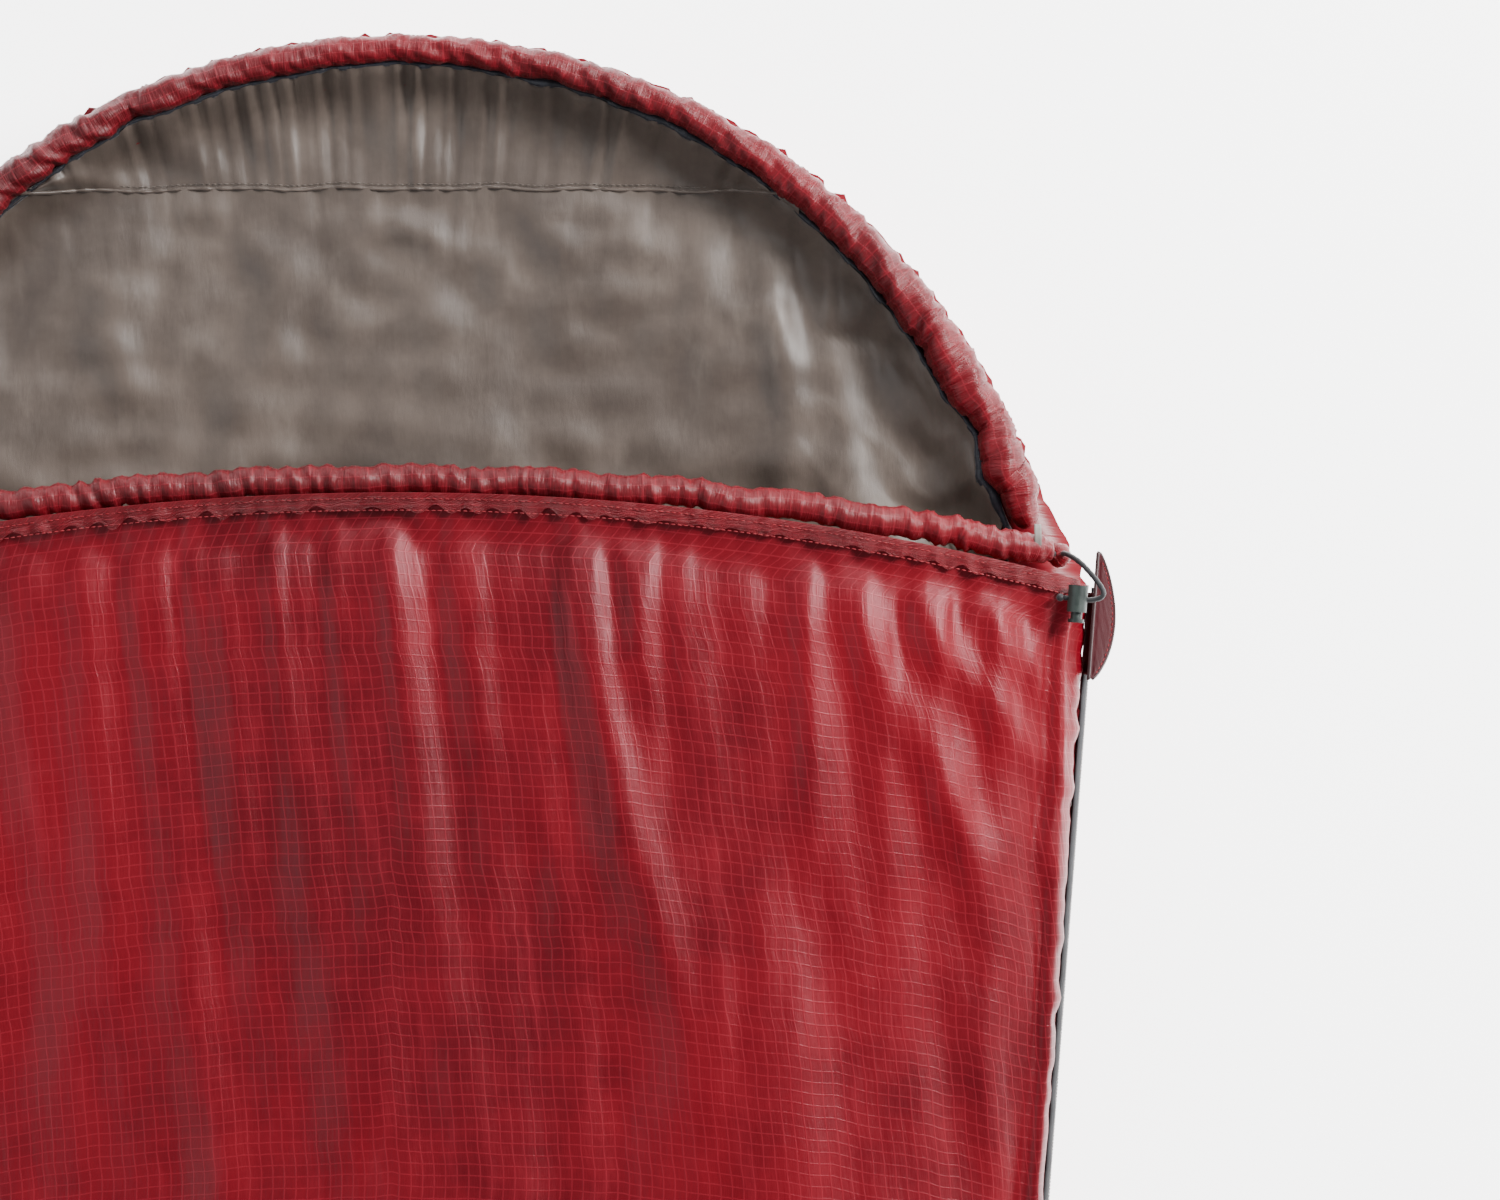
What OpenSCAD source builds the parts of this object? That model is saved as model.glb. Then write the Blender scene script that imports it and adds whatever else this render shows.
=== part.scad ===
// Mummy sleeping bag, lying on its back: hood up, fold-open chest flap, side zip.
// Millimetres. +Y towards the head, +X the zip side, +Z up, floor at z = 0.

/* [Overall] */
// Length from the foot to the top of the hood
bag_length = 2100; // [1700:10:2600]
// Width across the shoulders, where the hood's curve begins
shoulder_w = 762; // [630:2:920]
// Width where the foot box begins
foot_w = 526; // [430:2:640]
// Height of the lofted bag over the chest
bag_height = 140; // [125:1:170]
// Height of the side seam above the floor
seam_h = 55; // [50:1:66]

/* [Layers] */
// Thickness of the filling under the sleeper
back_loft = 27; // [18:1:34]
// Thickness of the filling over the sleeper
front_loft = 35; // [20:1:42]
// Thickness of the filling in the side walls
side_loft = 31; // [20:1:38]
// Thickness of the outer shell, and of the lining
skin = 1.5; // [1:0.1:2.5]
// Thickness of the hard-wearing panel under the bag
under_panel_t = 1.2; // [0.8:0.1:2.5]
// Radius of the lower corner of the side walls
corner_r = 44; // [40:1:48]

/* [Foot box] */
// Length of the rounded foot box
foot_len = 150; // [120:5:220]
// Width of the webbing of the foot loops
loop_w = 15; // [10:1:25]
// Distance of each foot loop from the centreline
loop_x = 110; // [60:5:160]

/* [Neck edge] */
// Distance from the start of the hood to the front edge at the sides
neck_rise = 70; // [60:1:90]
// How much further the front edge reaches at the centre
edge_arch = 50; // [30:1:70]
// How much lower the front panel is at its edge
edge_drop = 15; // [8:1:22]
// Share of the full thickness that is left at the front edge
edge_share = 0.4; // [0.3:0.05:0.6]
// Radius of the gathered tunnel along the front edge
chest_tunnel_r = 8.5; // [6:0.5:11]
// Radius of the drawcord in either tunnel
cord_r = 1.5; // [1:0.1:2.2]

/* [Hood] */
// Radius of the gathered tunnel round the hood's opening
rim_r = 14; // [10:0.5:16]
// Distance of the rim tunnel's ends past the tunnel along the front edge
rim_clear = 20.3; // [18:0.1:60]
// Radius of the dark piping inside the rim
piping_r = 2.5; // [1.5:0.1:4]
// Depth of the crown panel of the lining, from the top of the hood
crown_depth = 87; // [70:1:120]

/* [Fold-open flap] */
// Clearance between the flap's side edge and the seam
seam_gap = 2; // [1.5:0.1:3]
// Clearance across the fold, measured along the bag
fold_gap = 4; // [2:0.5:6]

/* [Zip] */
// Length of the zip from its top stops to the bottom box
zip_length = 1035; // [800:5:1200]
// Radius of each half of the coil
coil_r = 1.2; // [1:0.1:1.5]
// Gap between the two halves of the coil
coil_gap = 1.6; // [1.4:0.1:2]
// Thickness of the zip's tape
tape_t = 0.8; // [0.5:0.1:1]
// Clearance of the slider round the coil and tape
slider_clear = 0.4; // [0.35:0.05:0.6]
// Length of the slider
slider_len = 14; // [10:1:18]
// Length of the pull
pull_len = 28; // [18:1:40]

/* [Closure tab and cord lock] */
// Length of the leaf-shaped closure tab along the zip
tab_len = 72; // [50:1:90]
// Width of the closure tab
tab_w = 20; // [14:1:20]
// Angle of the tab below level, as it stands at rest
tab_tilt = 50; // [40:1:55]
// Radius of the cord lock's barrel
lock_r = 5.5; // [5:0.1:7]
// Length of the cord lock's barrel
lock_len = 15; // [13:1:20]
// Travel of the cord lock's plunger
lock_travel = 3.5; // [2:0.1:4]

/* [Hidden] */

red = [0.62, 0.07, 0.13];
maroon = [0.30, 0.04, 0.08];
taupe = [0.43, 0.38, 0.35];
charcoal = [0.13, 0.14, 0.17];
wadding = [0.88, 0.87, 0.84];
grey = [0.45, 0.45, 0.46];
gunmetal = [0.22, 0.25, 0.24];

touch = 0.02; // joint between two sewn faces
y_top = bag_length / 2;
hood_r = shoulder_w / 2;
y_hood = y_top - hood_r;
y_foot = foot_len - y_top;
taper = (hood_r - foot_w / 2) / (y_hood - y_foot);
taper_angle = atan(taper);
edge_side = y_hood + neck_rise;
edge_zone = 60; // the front panel thins over this distance from its edge
dome = 0.833; // roundness of the front panel's arch
front_wall = 18; // straight part of the front panel's side wall
wall_q = 1.2; // column number of the lower edge of that wall
fold_q = -0.35; // column at which the fold meets the front edge, on the outside
fold_q_clear = 0.03; // columns left free between that corner and the flap's
foot_round = 0.62; // roundness of the foot box

// depth of each layer boundary: outside, under the shell, inside the filling, inside the lining
in_side = [0, skin, skin + side_loft, 2 * skin + side_loft];
in_front = [0, skin, skin + front_loft, 2 * skin + front_loft];
in_back = [0, skin, skin + back_loft, 2 * skin + back_loft];

function half_w(y) = hood_r - taper * (y_hood - y);
function flat(rows) = [for (row = rows) each row];
function reversed(v) = [for (i = [len(v) - 1:-1:0]) v[i]];
function unit(v) = v / norm(v);

// ---- profiles, as [x, z] lists

// back panel, from the side seam down the wall, round the corner and in to the centre
function back_half(w, k) =
    let (x = w - in_side[k], z = under_panel_t + in_back[k], r = max(corner_r - in_side[k], 6))
    concat([[x, seam_h]],
        [for (a = [0:22.5:90]) [x - r * (1 - cos(a)), z + r * (1 - sin(a))]],
        [[0, z]]);

function back_profile(w, k) =
    let (half = back_half(w, k), n = len(half))
    concat(half, [for (i = [n - 2:-1:0]) [-half[i][0], half[i][1]]]);

// front panel at column q: 1.2 at the seam, 1 at the top of the wall, 0 at the centre
function edge_y(x, w) = edge_side + edge_arch * (1 - pow(min(abs(x) / w, 1), 2));
function near_edge(x, y) = max(0, 1 - (edge_y(x, half_w(y)) - y) / edge_zone);
function front_x(q, y, k) =
    sign(q) * (half_w(y) - in_side[k]) * pow(sin(90 * min(abs(q), 1)), dome);
function front_z(q, y, k, lift) =
    let (e = near_edge(front_x(q, y, k), y),
        high = bag_height - edge_drop * e * e
            - in_front[k] * (1 - (1 - edge_share) * pow(e, 1.5)),
        foot = seam_h + lift,
        knee = foot + front_wall * (high - foot) / (bag_height - foot))
    abs(q) >= 1
        ? knee + (foot - knee) * (abs(q) - 1) / (wall_q - 1)
        : knee + (high - knee) * pow(cos(90 * abs(q)), dome);
function front_point(q, y, k, lift) = [front_x(q, y, k), y, front_z(q, y, k, lift)];

// where the front edge and the fold cross column q
function solve_edge(q, k, y, n) =
    n == 0 ? y : solve_edge(q, k, edge_y(front_x(q, y, k), half_w(y)), n - 1);
function front_edge(q, k) = solve_edge(q, k, edge_side, 16);
edge_to_stop = 4; // from the front edge down to the zip's top stops
stop_to_fold = 6; // from the bottom of the zip down to the end of the fold
zip_top = edge_side - edge_to_stop;
zip_bottom = zip_top - zip_length;
fold_a = [front_x(fold_q, front_edge(fold_q, 0), 0), front_edge(fold_q, 0)];
fold_b = [half_w(zip_bottom - stop_to_fold), zip_bottom - stop_to_fold];
fold_slope = (fold_b[1] - fold_a[1]) / (fold_b[0] - fold_a[0]);
function fold_y(x) = fold_a[1] + (x - fold_a[0]) * fold_slope;
function solve_fold(q, k, y, n) =
    n == 0 ? y : solve_fold(q, k, fold_y(front_x(q, y, k)), n - 1);
function fold_at(q, k) = solve_fold(q, k, y_hood, 40);
// column in which layer k has the fold's corner, so that the fold's faces share one plane
function fold_q_on(k) =
    -asin(pow(-fold_a[0] / (half_w(fold_a[1]) - in_side[k]), 1 / dome)) / 90;

left_q = [-wall_q, -1, -0.93, -0.83, -0.7, -0.55];
cut_q = [-0.15, 0.05, 0.25, 0.45, 0.62, 0.77, 0.89, 1, wall_q];
function front_q(k) = concat(left_q, [fold_q_on(k)], cut_q);
function flap_q(k) = concat([fold_q_on(k) + fold_q_clear], cut_q);

// rows from y0 to y1, closer together near y1, where the panel thins
function rows_between(y0, y1) =
    let (l = y1 - y0, d = min(edge_zone, 0.4 * l))
    concat([for (i = [0:2]) y0 + (l - d) * i / 3], [for (s = [1, 0.6, 0.25, 0]) y1 - d * s]);

function rows_of(cols) = [for (i = [0:len(cols[0]) - 1]) reversed([for (c = cols) c[i]])];

function front_grid(k) = rows_of([for (q = front_q(k))
    let (ys = rows_between(y_foot,
            q > fold_q_on(k) ? fold_at(q, k) - fold_gap / 2 : front_edge(q, k)))
    [for (y = ys) front_point(q, y, k, 0)]]);

function flap_grid(k) = rows_of([for (q = flap_q(k))
    let (ys = rows_between(fold_at(q, k) + fold_gap / 2, front_edge(q, k)))
    [for (y = ys) front_point(q, y, k, seam_gap)]]);

function back_grid(k) =
    [for (y = [y_foot, y_hood]) [for (p = back_profile(half_w(y), k)) [p[0], y, p[1]]]];

// ---- solids from grids

// a closed slab between an upper and a lower grid of points, rows towards +Y, columns towards -X
module slab(upper, lower) {
    nr = len(upper);
    nc = len(upper[0]);
    n = nr * nc;
    sheets = [for (i = [0:nr - 2]) for (j = [0:nc - 2])
        let (a = i * nc + j, b = a + 1, c = a + nc, d = c + 1)
        each [[a, b, c], [b, d, c], [n + a, n + c, n + b], [n + b, n + c, n + d]]];
    sides = [for (i = [0:nr - 2])
        let (a = i * nc, c = a + nc, e = a + nc - 1, g = e + nc)
        each [[a, c, n + c], [a, n + c, n + a], [e, n + e, n + g], [e, n + g, g]]];
    ends = [for (j = [0:nc - 2])
        let (a = j, b = j + 1, e = n - nc + j, g = e + 1)
        each [[b, a, n + a], [b, n + a, n + b], [e, g, n + g], [e, n + g, n + e]]];
    polyhedron(points = concat(flat(upper), flat(lower)), faces = concat(sheets, sides, ends));
}

// a closed cup between two stacks of loops, each stack ending in one tip point
module cup(outer, outer_tip, inner, inner_tip) {
    nr = len(outer);
    nc = len(outer[0]);
    n = nr * nc + 1;
    function at(i, j) = i * nc + j % nc;
    walls = [for (i = [0:nr - 2]) for (j = [0:nc - 1])
        let (a = at(i, j), b = at(i, j + 1), c = at(i + 1, j), d = at(i + 1, j + 1))
        each [[a, c, b], [b, c, d], [n + a, n + b, n + c], [n + b, n + d, n + c]]];
    tips = [for (j = [0:nc - 1])
        let (a = at(nr - 1, j), b = at(nr - 1, j + 1))
        each [[a, n - 1, b], [n + a, n + b, 2 * n - 1]]];
    rim = [for (j = [0:nc - 1])
        let (a = at(0, j), b = at(0, j + 1))
        each [[a, b, n + b], [a, n + b, n + a]]];
    polyhedron(points = concat(flat(outer), [outer_tip], flat(inner), [inner_tip]),
        faces = concat(walls, tips, rim));
}

// a direction across the path at point i, carried along from its start without twisting
function across(path, i) =
    let (t = direction(path, i), u = i == 0 ? cross(t, [0, 1, 0]) : across(path, i - 1))
    unit(u - (u * t) * t);
function direction(path, i) = unit(path[min(i + 1, len(path) - 1)] - path[max(i - 1, 0)]);

// a round tube or, with no bore, a round cord along a path
module sweep(path, r, bore = 0, n = 8) {
    m = len(path);
    rings = [for (i = [0:m - 1]) let (u = across(path, i)) [u, cross(direction(path, i), u)]];
    function ring(rr) = [for (i = [0:m - 1]) for (j = [0:n - 1])
        path[i] + rr * (cos(360 * j / n) * rings[i][0] + sin(360 * j / n) * rings[i][1])];
    o = m * n;
    last = (m - 1) * n;
    outside = [for (i = [0:m - 2]) for (j = [0:n - 1])
        let (a = i * n + j, b = i * n + (j + 1) % n, c = a + n, d = b + n)
        each [[a, c, b], [b, c, d]]];
    if (bore > 0) {
        inside = [for (f = outside) [f[0] + o, f[2] + o, f[1] + o]];
        ends = [for (j = [0:n - 1])
            let (b = (j + 1) % n)
            each [[j, b, o + b], [j, o + b, o + j],
                [last + j, o + last + b, last + b], [last + j, o + last + j, o + last + b]]];
        polyhedron(points = concat(ring(r), ring(bore)), faces = concat(outside, inside, ends));
    } else {
        caps = [[for (j = [0:n - 1]) j], [for (j = [n - 1:-1:0]) last + j]];
        polyhedron(points = ring(r), faces = concat(outside, caps));
    }
}

// the hood is the back panel's section turned half round the hood's centre
module hood_layer(k) {
    outer = back_half(hood_r, k);
    inner = back_half(hood_r, k + 1);
    translate([0, y_hood, 0])
        rotate_extrude(angle = 180, $fn = 96)
            polygon(concat(outer, reversed(inner)));
}

module foot_layer(k) {
    // share of the full section, and distance from the start of the foot box, at each loop
    turns = [0, 26, 46, 62, 74, 83];
    function loop(u, k) = [for (p = foot_section(k))
        [p[0] * pow(cos(u), foot_round), y_foot - (foot_len - in_side[k]) * sin(u),
            seam_h + (p[1] - seam_h) * pow(cos(u), foot_round)]];
    function tip(k) = [0, y_foot - (foot_len - in_side[k]), seam_h];
    cup([for (u = turns) loop(u, k)], tip(k), [for (u = turns) loop(u, k + 1)], tip(k + 1));
}

function foot_section(k) =
    let (top = [for (q = reversed(front_q(k))) front_point(q, y_foot, k, 0)],
        under = back_profile(half_w(y_foot), k))
    concat([for (p = top) [p[0], p[2]]], [for (i = [len(under) - 2:-1:1]) under[i]]);

// ---- the underside, the back and the foot

module underside_panel() {
    flat_w = half_w(y_foot) - corner_r;
    color(charcoal) linear_extrude(under_panel_t) {
        polygon([[-flat_w, y_foot], [flat_w, y_foot],
            [hood_r - corner_r, y_hood], [corner_r - hood_r, y_hood]]);
        translate([0, y_hood]) circle(r = hood_r - corner_r, $fn = 96);
    }
}

module back_shell() { color(red) slab(back_grid(1), back_grid(0)); }
module back_fill() { color(wadding) slab(back_grid(2), back_grid(1)); }
module back_lining() { color(taupe) slab(back_grid(3), back_grid(2)); }
module foot_shell() { color(red) foot_layer(0); }
module foot_fill() { color(wadding) foot_layer(1); }
module foot_lining() { color(taupe) foot_layer(2); }

loop_t = 1.6; // thickness of the loops' webbing
loop_reach = 26;
loop_h = 13;
loop_off = 1.55; // from the loop's sewn end to the foot box's outermost point
module foot_loops() {
    // each loop is a flat band bent into an eye, sewn under the foot box's seam
    color(charcoal) for (side = [-1, 1])
        translate([side * loop_x - loop_w / 2, loop_y, loop_z])
            rotate([90, 0, 90]) linear_extrude(loop_w) difference() {
                translate([-loop_reach, 0]) loop_outline(loop_reach, loop_h);
                translate([loop_t - loop_reach, loop_t])
                    loop_outline(loop_reach - 2 * loop_t, loop_h - 2 * loop_t);
            }
}
module loop_outline(l, h) {
    translate([h / 2, h / 2]) circle(d = h, $fn = 32);
    translate([h / 2, 0]) square([l - h / 2, h]);
}
// the outermost point of the foot box's surface at the loops
loop_turn = acos(pow((loop_x + loop_w / 2) / half_w(y_foot), 1 / foot_round));
loop_y = y_foot - foot_len * sin(loop_turn) - loop_off;
loop_z = seam_h - loop_h / 2;

// ---- the fixed part of the front

module front_shell() { color(red) slab(front_grid(0), front_grid(1)); }
module front_fill() { color(wadding) slab(front_grid(1), front_grid(2)); }
module front_lining() { color(taupe) slab(front_grid(2), front_grid(3)); }

// centre of the tunnel along the front edge, at column q
function tunnel_point(q, lift) =
    let (o = front_point(q, front_edge(q, 0), 0, lift), i = front_point(q, front_edge(q, 3), 3, lift))
    [(o[0] + i[0]) / 2, max(o[1], i[1]) + chest_tunnel_r + touch, (o[2] + i[2]) / 2];
cord_bore = cord_r + 1;
tunnel_last_q = 0.86;
end_q = 0.97;
hem_q = [-0.93:0.09:fold_q - 0.05];
module chest_hem() {
    color(red) sweep([for (q = hem_q) tunnel_point(q, 0)], chest_tunnel_r, cord_bore);
}

// ---- the hood

module hood_shell() { color(red) hood_layer(0); }
module hood_fill() { color(wadding) hood_layer(1); }
module hood_lining() {
    color(taupe) difference() {
        hood_layer(2);
        translate([-hood_r, y_top - crown_depth, 0]) cube([2 * hood_r, crown_depth, seam_h + 1]);
    }
}
module hood_crown_lining() {
    color(taupe) intersection() {
        hood_layer(2);
        translate([-hood_r, y_top - crown_depth, 0]) cube([2 * hood_r, crown_depth, seam_h + 1]);
    }
}
// a round bar or tube bent round the hood's opening
module rim_bar(radius, z, r, bore, margin) {
    translate([0, y_hood, z])
        rotate([0, 0, rim_end + margin])
            rotate_extrude(angle = 180 - 2 * (rim_end + margin), $fn = 96)
                translate([radius, 0]) difference() {
                    circle(r = r, $fn = 32);
                    if (bore > 0) circle(r = bore, $fn = 32);
                }
}
rim_z = seam_h + rim_r;
rim_radius = hood_r - rim_r;
// angle at the hood's centre at which the rim tunnel ends, clear of the front edge's tunnel
rim_end = asin((neck_rise + 2 * chest_tunnel_r + rim_clear) / rim_radius);
rim_wall = 5; // gathered fabric round the cord's channel
module hood_rim_tunnel() { color(red) rim_bar(rim_radius, rim_z, rim_r, rim_r - rim_wall, 0); }
module hood_drawcord() { color(charcoal) rim_bar(rim_radius, rim_z, cord_r, 0, 0.3); }
module hood_piping() {
    color(charcoal) rim_bar(rim_radius - rim_r - piping_r, rim_z, piping_r, 0, 0);
}

// ---- the zip, in its own frame: x out of the side wall, y along the zip, z up

seam_mid = seam_h + seam_gap / 2;
coil_x = coil_r + slider_clear + 1.6; // clear of the side wall
plate_t = 0.8; // thickness of the slider's plates
coil_z = coil_gap / 2 + coil_r;
tape_edge = coil_z + 0.6;
tape_reach = 11;
hem_h = 2;
function zip_point(p) = [
    half_w(zip_top) + p[0] * cos(taper_angle) + p[1] * sin(taper_angle),
    zip_top - p[0] * sin(taper_angle) + p[1] * cos(taper_angle),
    seam_mid + p[2]
];
module on_zip() {
    translate([half_w(zip_top), zip_top, seam_mid]) rotate([0, 0, -taper_angle]) children();
}
module along_zip(from, to) {
    translate([0, to, 0]) rotate([90, 0, 0]) linear_extrude(to - from) children();
}
module tape_section() {
    // tape beside the coil, with its sewn hem against the wall
    polygon([[coil_x - tape_t / 2, tape_edge], [coil_x + tape_t / 2, tape_edge],
        [coil_x + tape_t / 2, tape_reach], [touch, tape_reach],
        [touch, tape_reach - hem_h], [coil_x - tape_t / 2, tape_reach - hem_h]]);
}
module coil_section() {
    difference() {
        translate([coil_x, coil_z]) circle(r = coil_r, $fn = 32);
        translate([coil_x - tape_t / 2, tape_edge]) square([tape_t, coil_r]);
    }
}
module back_zip_tape() {
    color(charcoal) on_zip() mirror([0, 0, 1]) along_zip(-zip_length, 0) tape_section();
}
module back_zip_coil() {
    color(grey) on_zip() mirror([0, 0, 1]) along_zip(-zip_length, 0) coil_section();
}
module flap_zip_tape() { color(charcoal) on_zip() along_zip(-zip_length, 0) tape_section(); }
module flap_zip_coil() { color(grey) on_zip() along_zip(-zip_length, 0) coil_section(); }
stop_len = 3;
module top_stop() {
    translate([coil_x - 1.2, touch, coil_gap / 2]) cube([2.4, stop_len, 2 * coil_r + 1.2]);
}
module back_top_stop() { color(gunmetal) on_zip() mirror([0, 0, 1]) top_stop(); }
module flap_top_stop() { color(gunmetal) on_zip() top_stop(); }
box_len = 8;
module zip_bottom_box() {
    color(gunmetal) on_zip()
        translate([touch, -zip_length - touch - box_len, -coil_z - 2.5])
            cube([coil_x + 1.6, box_len, coil_z + 1.6 - seam_gap / 2]);
}
draft_r = 9;
draft_drop = 7; // from the zip's seam down to the tube's middle
draft_x = in_side[3] + draft_r + 1;
module draft_tube() {
    // padded tube behind the zip, sewn to the lining of the side wall
    color(taupe) on_zip() translate([-draft_x, -zip_length, -seam_gap / 2 - draft_drop])
        rotate([-90, 0, 0]) cylinder(r = draft_r, h = zip_length - neck_rise, $fn = 48);
}

// ---- the fold-open flap

module flap_shell() { color(red) slab(flap_grid(0), flap_grid(1)); }
module flap_fill() { color(wadding) slab(flap_grid(1), flap_grid(2)); }
module flap_lining() { color(taupe) slab(flap_grid(2), flap_grid(3)); }
tunnel_first_q = fold_q + 0.09;
tunnel_q = [for (i = [0:14]) tunnel_first_q + (tunnel_last_q - tunnel_first_q) * i / 14];
module chest_tunnel() {
    color(red) sweep([for (q = tunnel_q) tunnel_point(q, seam_gap)], chest_tunnel_r, cord_bore);
}

end_point = tunnel_point(end_q, seam_gap);
turn_q = [0.885, 0.91, 0.935]; // the bare cord follows the edge between the tunnel and the knot
end_r = 7; // the gathered knot of fabric at the tunnel's end
lock_at = [-7, -4, 44]; // middle of the cord lock, in the zip's frame
cord_exit = end_point + [4, 0.5, 11];
cord_over = end_point + [13, -6, 20];
cord_side = zip_point(lock_at + [14, 5, 1]);
lock_in = zip_point(lock_at + [lock_r + 3, 0, 0]);
lock_out = zip_point(lock_at - [lock_r + 2, 0, 0]);
module chest_drawcord() {
    color(charcoal) sweep(concat([for (q = concat(tunnel_q, turn_q)) tunnel_point(q, seam_gap)],
        [end_point, cord_exit, cord_over, cord_side, lock_in, lock_out]), cord_r);
}
end_bore = cord_r + 1.2;
module bored_to(target) {
    // the cord's way out of the knot, from its middle towards a point
    d = target - end_point;
    translate(end_point) rotate([0, acos(d[2] / norm(d)), atan2(d[1], d[0])])
        translate([0, 0, -end_bore]) cylinder(r = end_bore, h = 2 * end_r, $fn = 32);
}
module tunnel_end() {
    color(red) difference() {
        translate(end_point) sphere(r = end_r, $fn = 48);
        bored_to(cord_exit);
        bored_to(tunnel_point(turn_q[1], seam_gap));
    }
}
strip_size = [4, 12, 0.8];
strip_q = 0.8;
strip_on = 2; // from the tunnel's centre to the strip's sewn end
module neck_strip() {
    // short woven strip sewn on the end of the tunnel
    p = tunnel_point(strip_q, seam_gap);
    color(grey) translate([p[0], p[1] + strip_on, p[2] + chest_tunnel_r + touch])
        cube(strip_size);
}

// ---- the closure tab, on the flap's side wall above the zip

tab_axis = [3, 24]; // x and z of the tab's fold, in the zip's frame
tab_start = -49;
anchor_z = 13;
anchor_t = 1.6;
anchor_len = 45;
anchor_under = 1.6; // from the anchor's top to the tab's fold
tab_root = 1.2;
tab_t = 1.6;
module tab_anchor() {
    color(maroon) on_zip() translate([touch, -anchor_len, anchor_z])
        cube([anchor_t, anchor_len, tab_axis[1] - anchor_z - anchor_under]);
}
module on_tab() {
    // x outwards along the tab, y along the zip, z through its thickness
    on_zip() translate([tab_axis[0], tab_start, tab_axis[1]]) rotate([0, tab_tilt, 0]) children();
}
leaf_skew = 0.85; // below 1, the leaf is widest above its middle
leaf_round = 0.75;
module closure_tab() {
    color(maroon) on_tab() translate([0, 0, -tab_t / 2]) linear_extrude(tab_t)
        polygon([for (s = [0:1 / 16:1])
            [tab_root + (tab_w - tab_root) * pow(sin(180 * pow(s, leaf_skew)), leaf_round),
                tab_len * s]]);
}
patch_size = [12, 40, 0.8];
patch_at = [2, 16];
module tab_hook_patch() {
    color(charcoal) on_tab()
        translate([patch_at[0], patch_at[1], -tab_t / 2 - patch_size[2]]) cube(patch_size);
}

// ---- the cord lock

lock_bore = 3.3;
plunger_r = 3.22;
lock_wall = 1.6;
plunger_head_r = 4.6;
plunger_head_t = 2;
plunger_out = lock_travel + 0.4; // how far the head stands off the barrel
plunger_len = lock_len - lock_wall - lock_travel - 1;
cord_hole = cord_r + 0.4;
hole_ease = 0.8; // spare length of the plunger's hole, beyond its travel
module on_lock() {
    // z along the lock, its open end towards the foot
    on_zip() translate(lock_at) rotate([90, 0, 0]) translate([0, 0, -lock_len / 2]) children();
}
module cord_way(spread) {
    // hole for the cord across the lock, longer by the plunger's travel inside the plunger
    for (s = [0, spread]) translate([-lock_r - 1, 0, lock_len / 2 + s - spread / 2])
        rotate([0, 90, 0]) cylinder(r = cord_hole, h = 2 * lock_r + 2, $fn = 32);
    if (spread > 0) translate([-lock_r - 1, -cord_hole, lock_len / 2 - spread / 2])
        cube([2 * lock_r + 2, 2 * cord_hole, spread]);
}
module lock_barrel() {
    color(gunmetal) on_lock() difference() {
        cylinder(r = lock_r, h = lock_len, $fn = 64);
        translate([0, 0, lock_wall]) cylinder(r = lock_bore, h = lock_len, $fn = 64);
        cord_way(0);
    }
}
module lock_plunger() {
    color(charcoal) on_lock() difference() {
        union() {
            translate([0, 0, lock_len - plunger_len])
                cylinder(r = plunger_r, h = plunger_len + plunger_out, $fn = 64);
            translate([0, 0, lock_len + plunger_out])
                cylinder(r = plunger_head_r, h = plunger_head_t, $fn = 64);
        }
        translate([0, 0, lock_travel / 2]) cord_way(lock_travel + hole_ease);
    }
}
spring_r = 2.6;
spring_t = 0.6;
module lock_spring() {
    color(grey) on_lock() translate([0, 0, lock_wall]) difference() {
        cylinder(r = spring_r, h = lock_len - plunger_len - lock_wall, $fn = 32);
        translate([0, 0, -1]) cylinder(r = spring_r - spring_t, h = lock_len, $fn = 32);
    }
}
knot_r = 2.2;
module cord_knot() {
    color(charcoal) translate(lock_out + knot_r * unit(lock_out - lock_in))
        sphere(r = knot_r, $fn = 32);
}

// ---- the slider and its pull

plate_gap = coil_r + slider_clear; // half the room between the plates
slider_h = coil_z + coil_r + slider_clear + plate_t;
slider_mid = -slider_len / 2 - 1;
module slider_body() {
    tape_slot = tape_t / 2 + slider_clear;
    color(gunmetal) on_zip() translate([coil_x, slider_mid, 0]) {
        for (s = [-1, 1]) {
            translate([s > 0 ? plate_gap : -plate_gap - plate_t, -slider_len / 2, -slider_h])
                cube([plate_t, slider_len, 2 * slider_h]);
            // lips along the plates' edges, which leave the tapes their slots
            for (e = [-1, 1]) translate([s > 0 ? tape_slot : -plate_gap - touch,
                -slider_len / 2, e > 0 ? slider_h - plate_t : -slider_h])
                cube([plate_gap - tape_slot + touch, slider_len, plate_t]);
        }
        // wall between the halves of the coil, at the head end
        translate([-plate_gap - touch, slider_len / 2 - 3, -0.4])
            cube([2 * (plate_gap + touch), 3, 0.8]);
        // two lugs for the pull's pin
        for (e = [-1, 1]) translate([plate_gap + plate_t - touch, -2, e * 2.7 - 0.6])
            cube([3.6, 4, 1.2]);
    }
}
pin_x = coil_x + plate_gap + plate_t + 2;
pin_r = 0.8;
module slider_pin() {
    color(gunmetal) on_zip() translate([pin_x, slider_mid, -2.1])
        cylinder(r = pin_r, h = 4.2, $fn = 32);
}
module zip_pull() {
    color(gunmetal) on_zip() translate([pin_x, slider_mid, 0]) difference() {
        union() {
            translate([0, 0, -1.6]) cylinder(r = 1.7, h = 3.2, $fn = 32);
            translate([-0.9, -pull_len, -1.6]) cube([1.8, pull_len, 3.2]);
            translate([-0.9, -pull_len - 8, -3]) cube([1.8, 10, 6]);
        }
        translate([0, 0, -3]) cylinder(r = pin_r + 0.06, h = 6, $fn = 32);
    }
}

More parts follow.
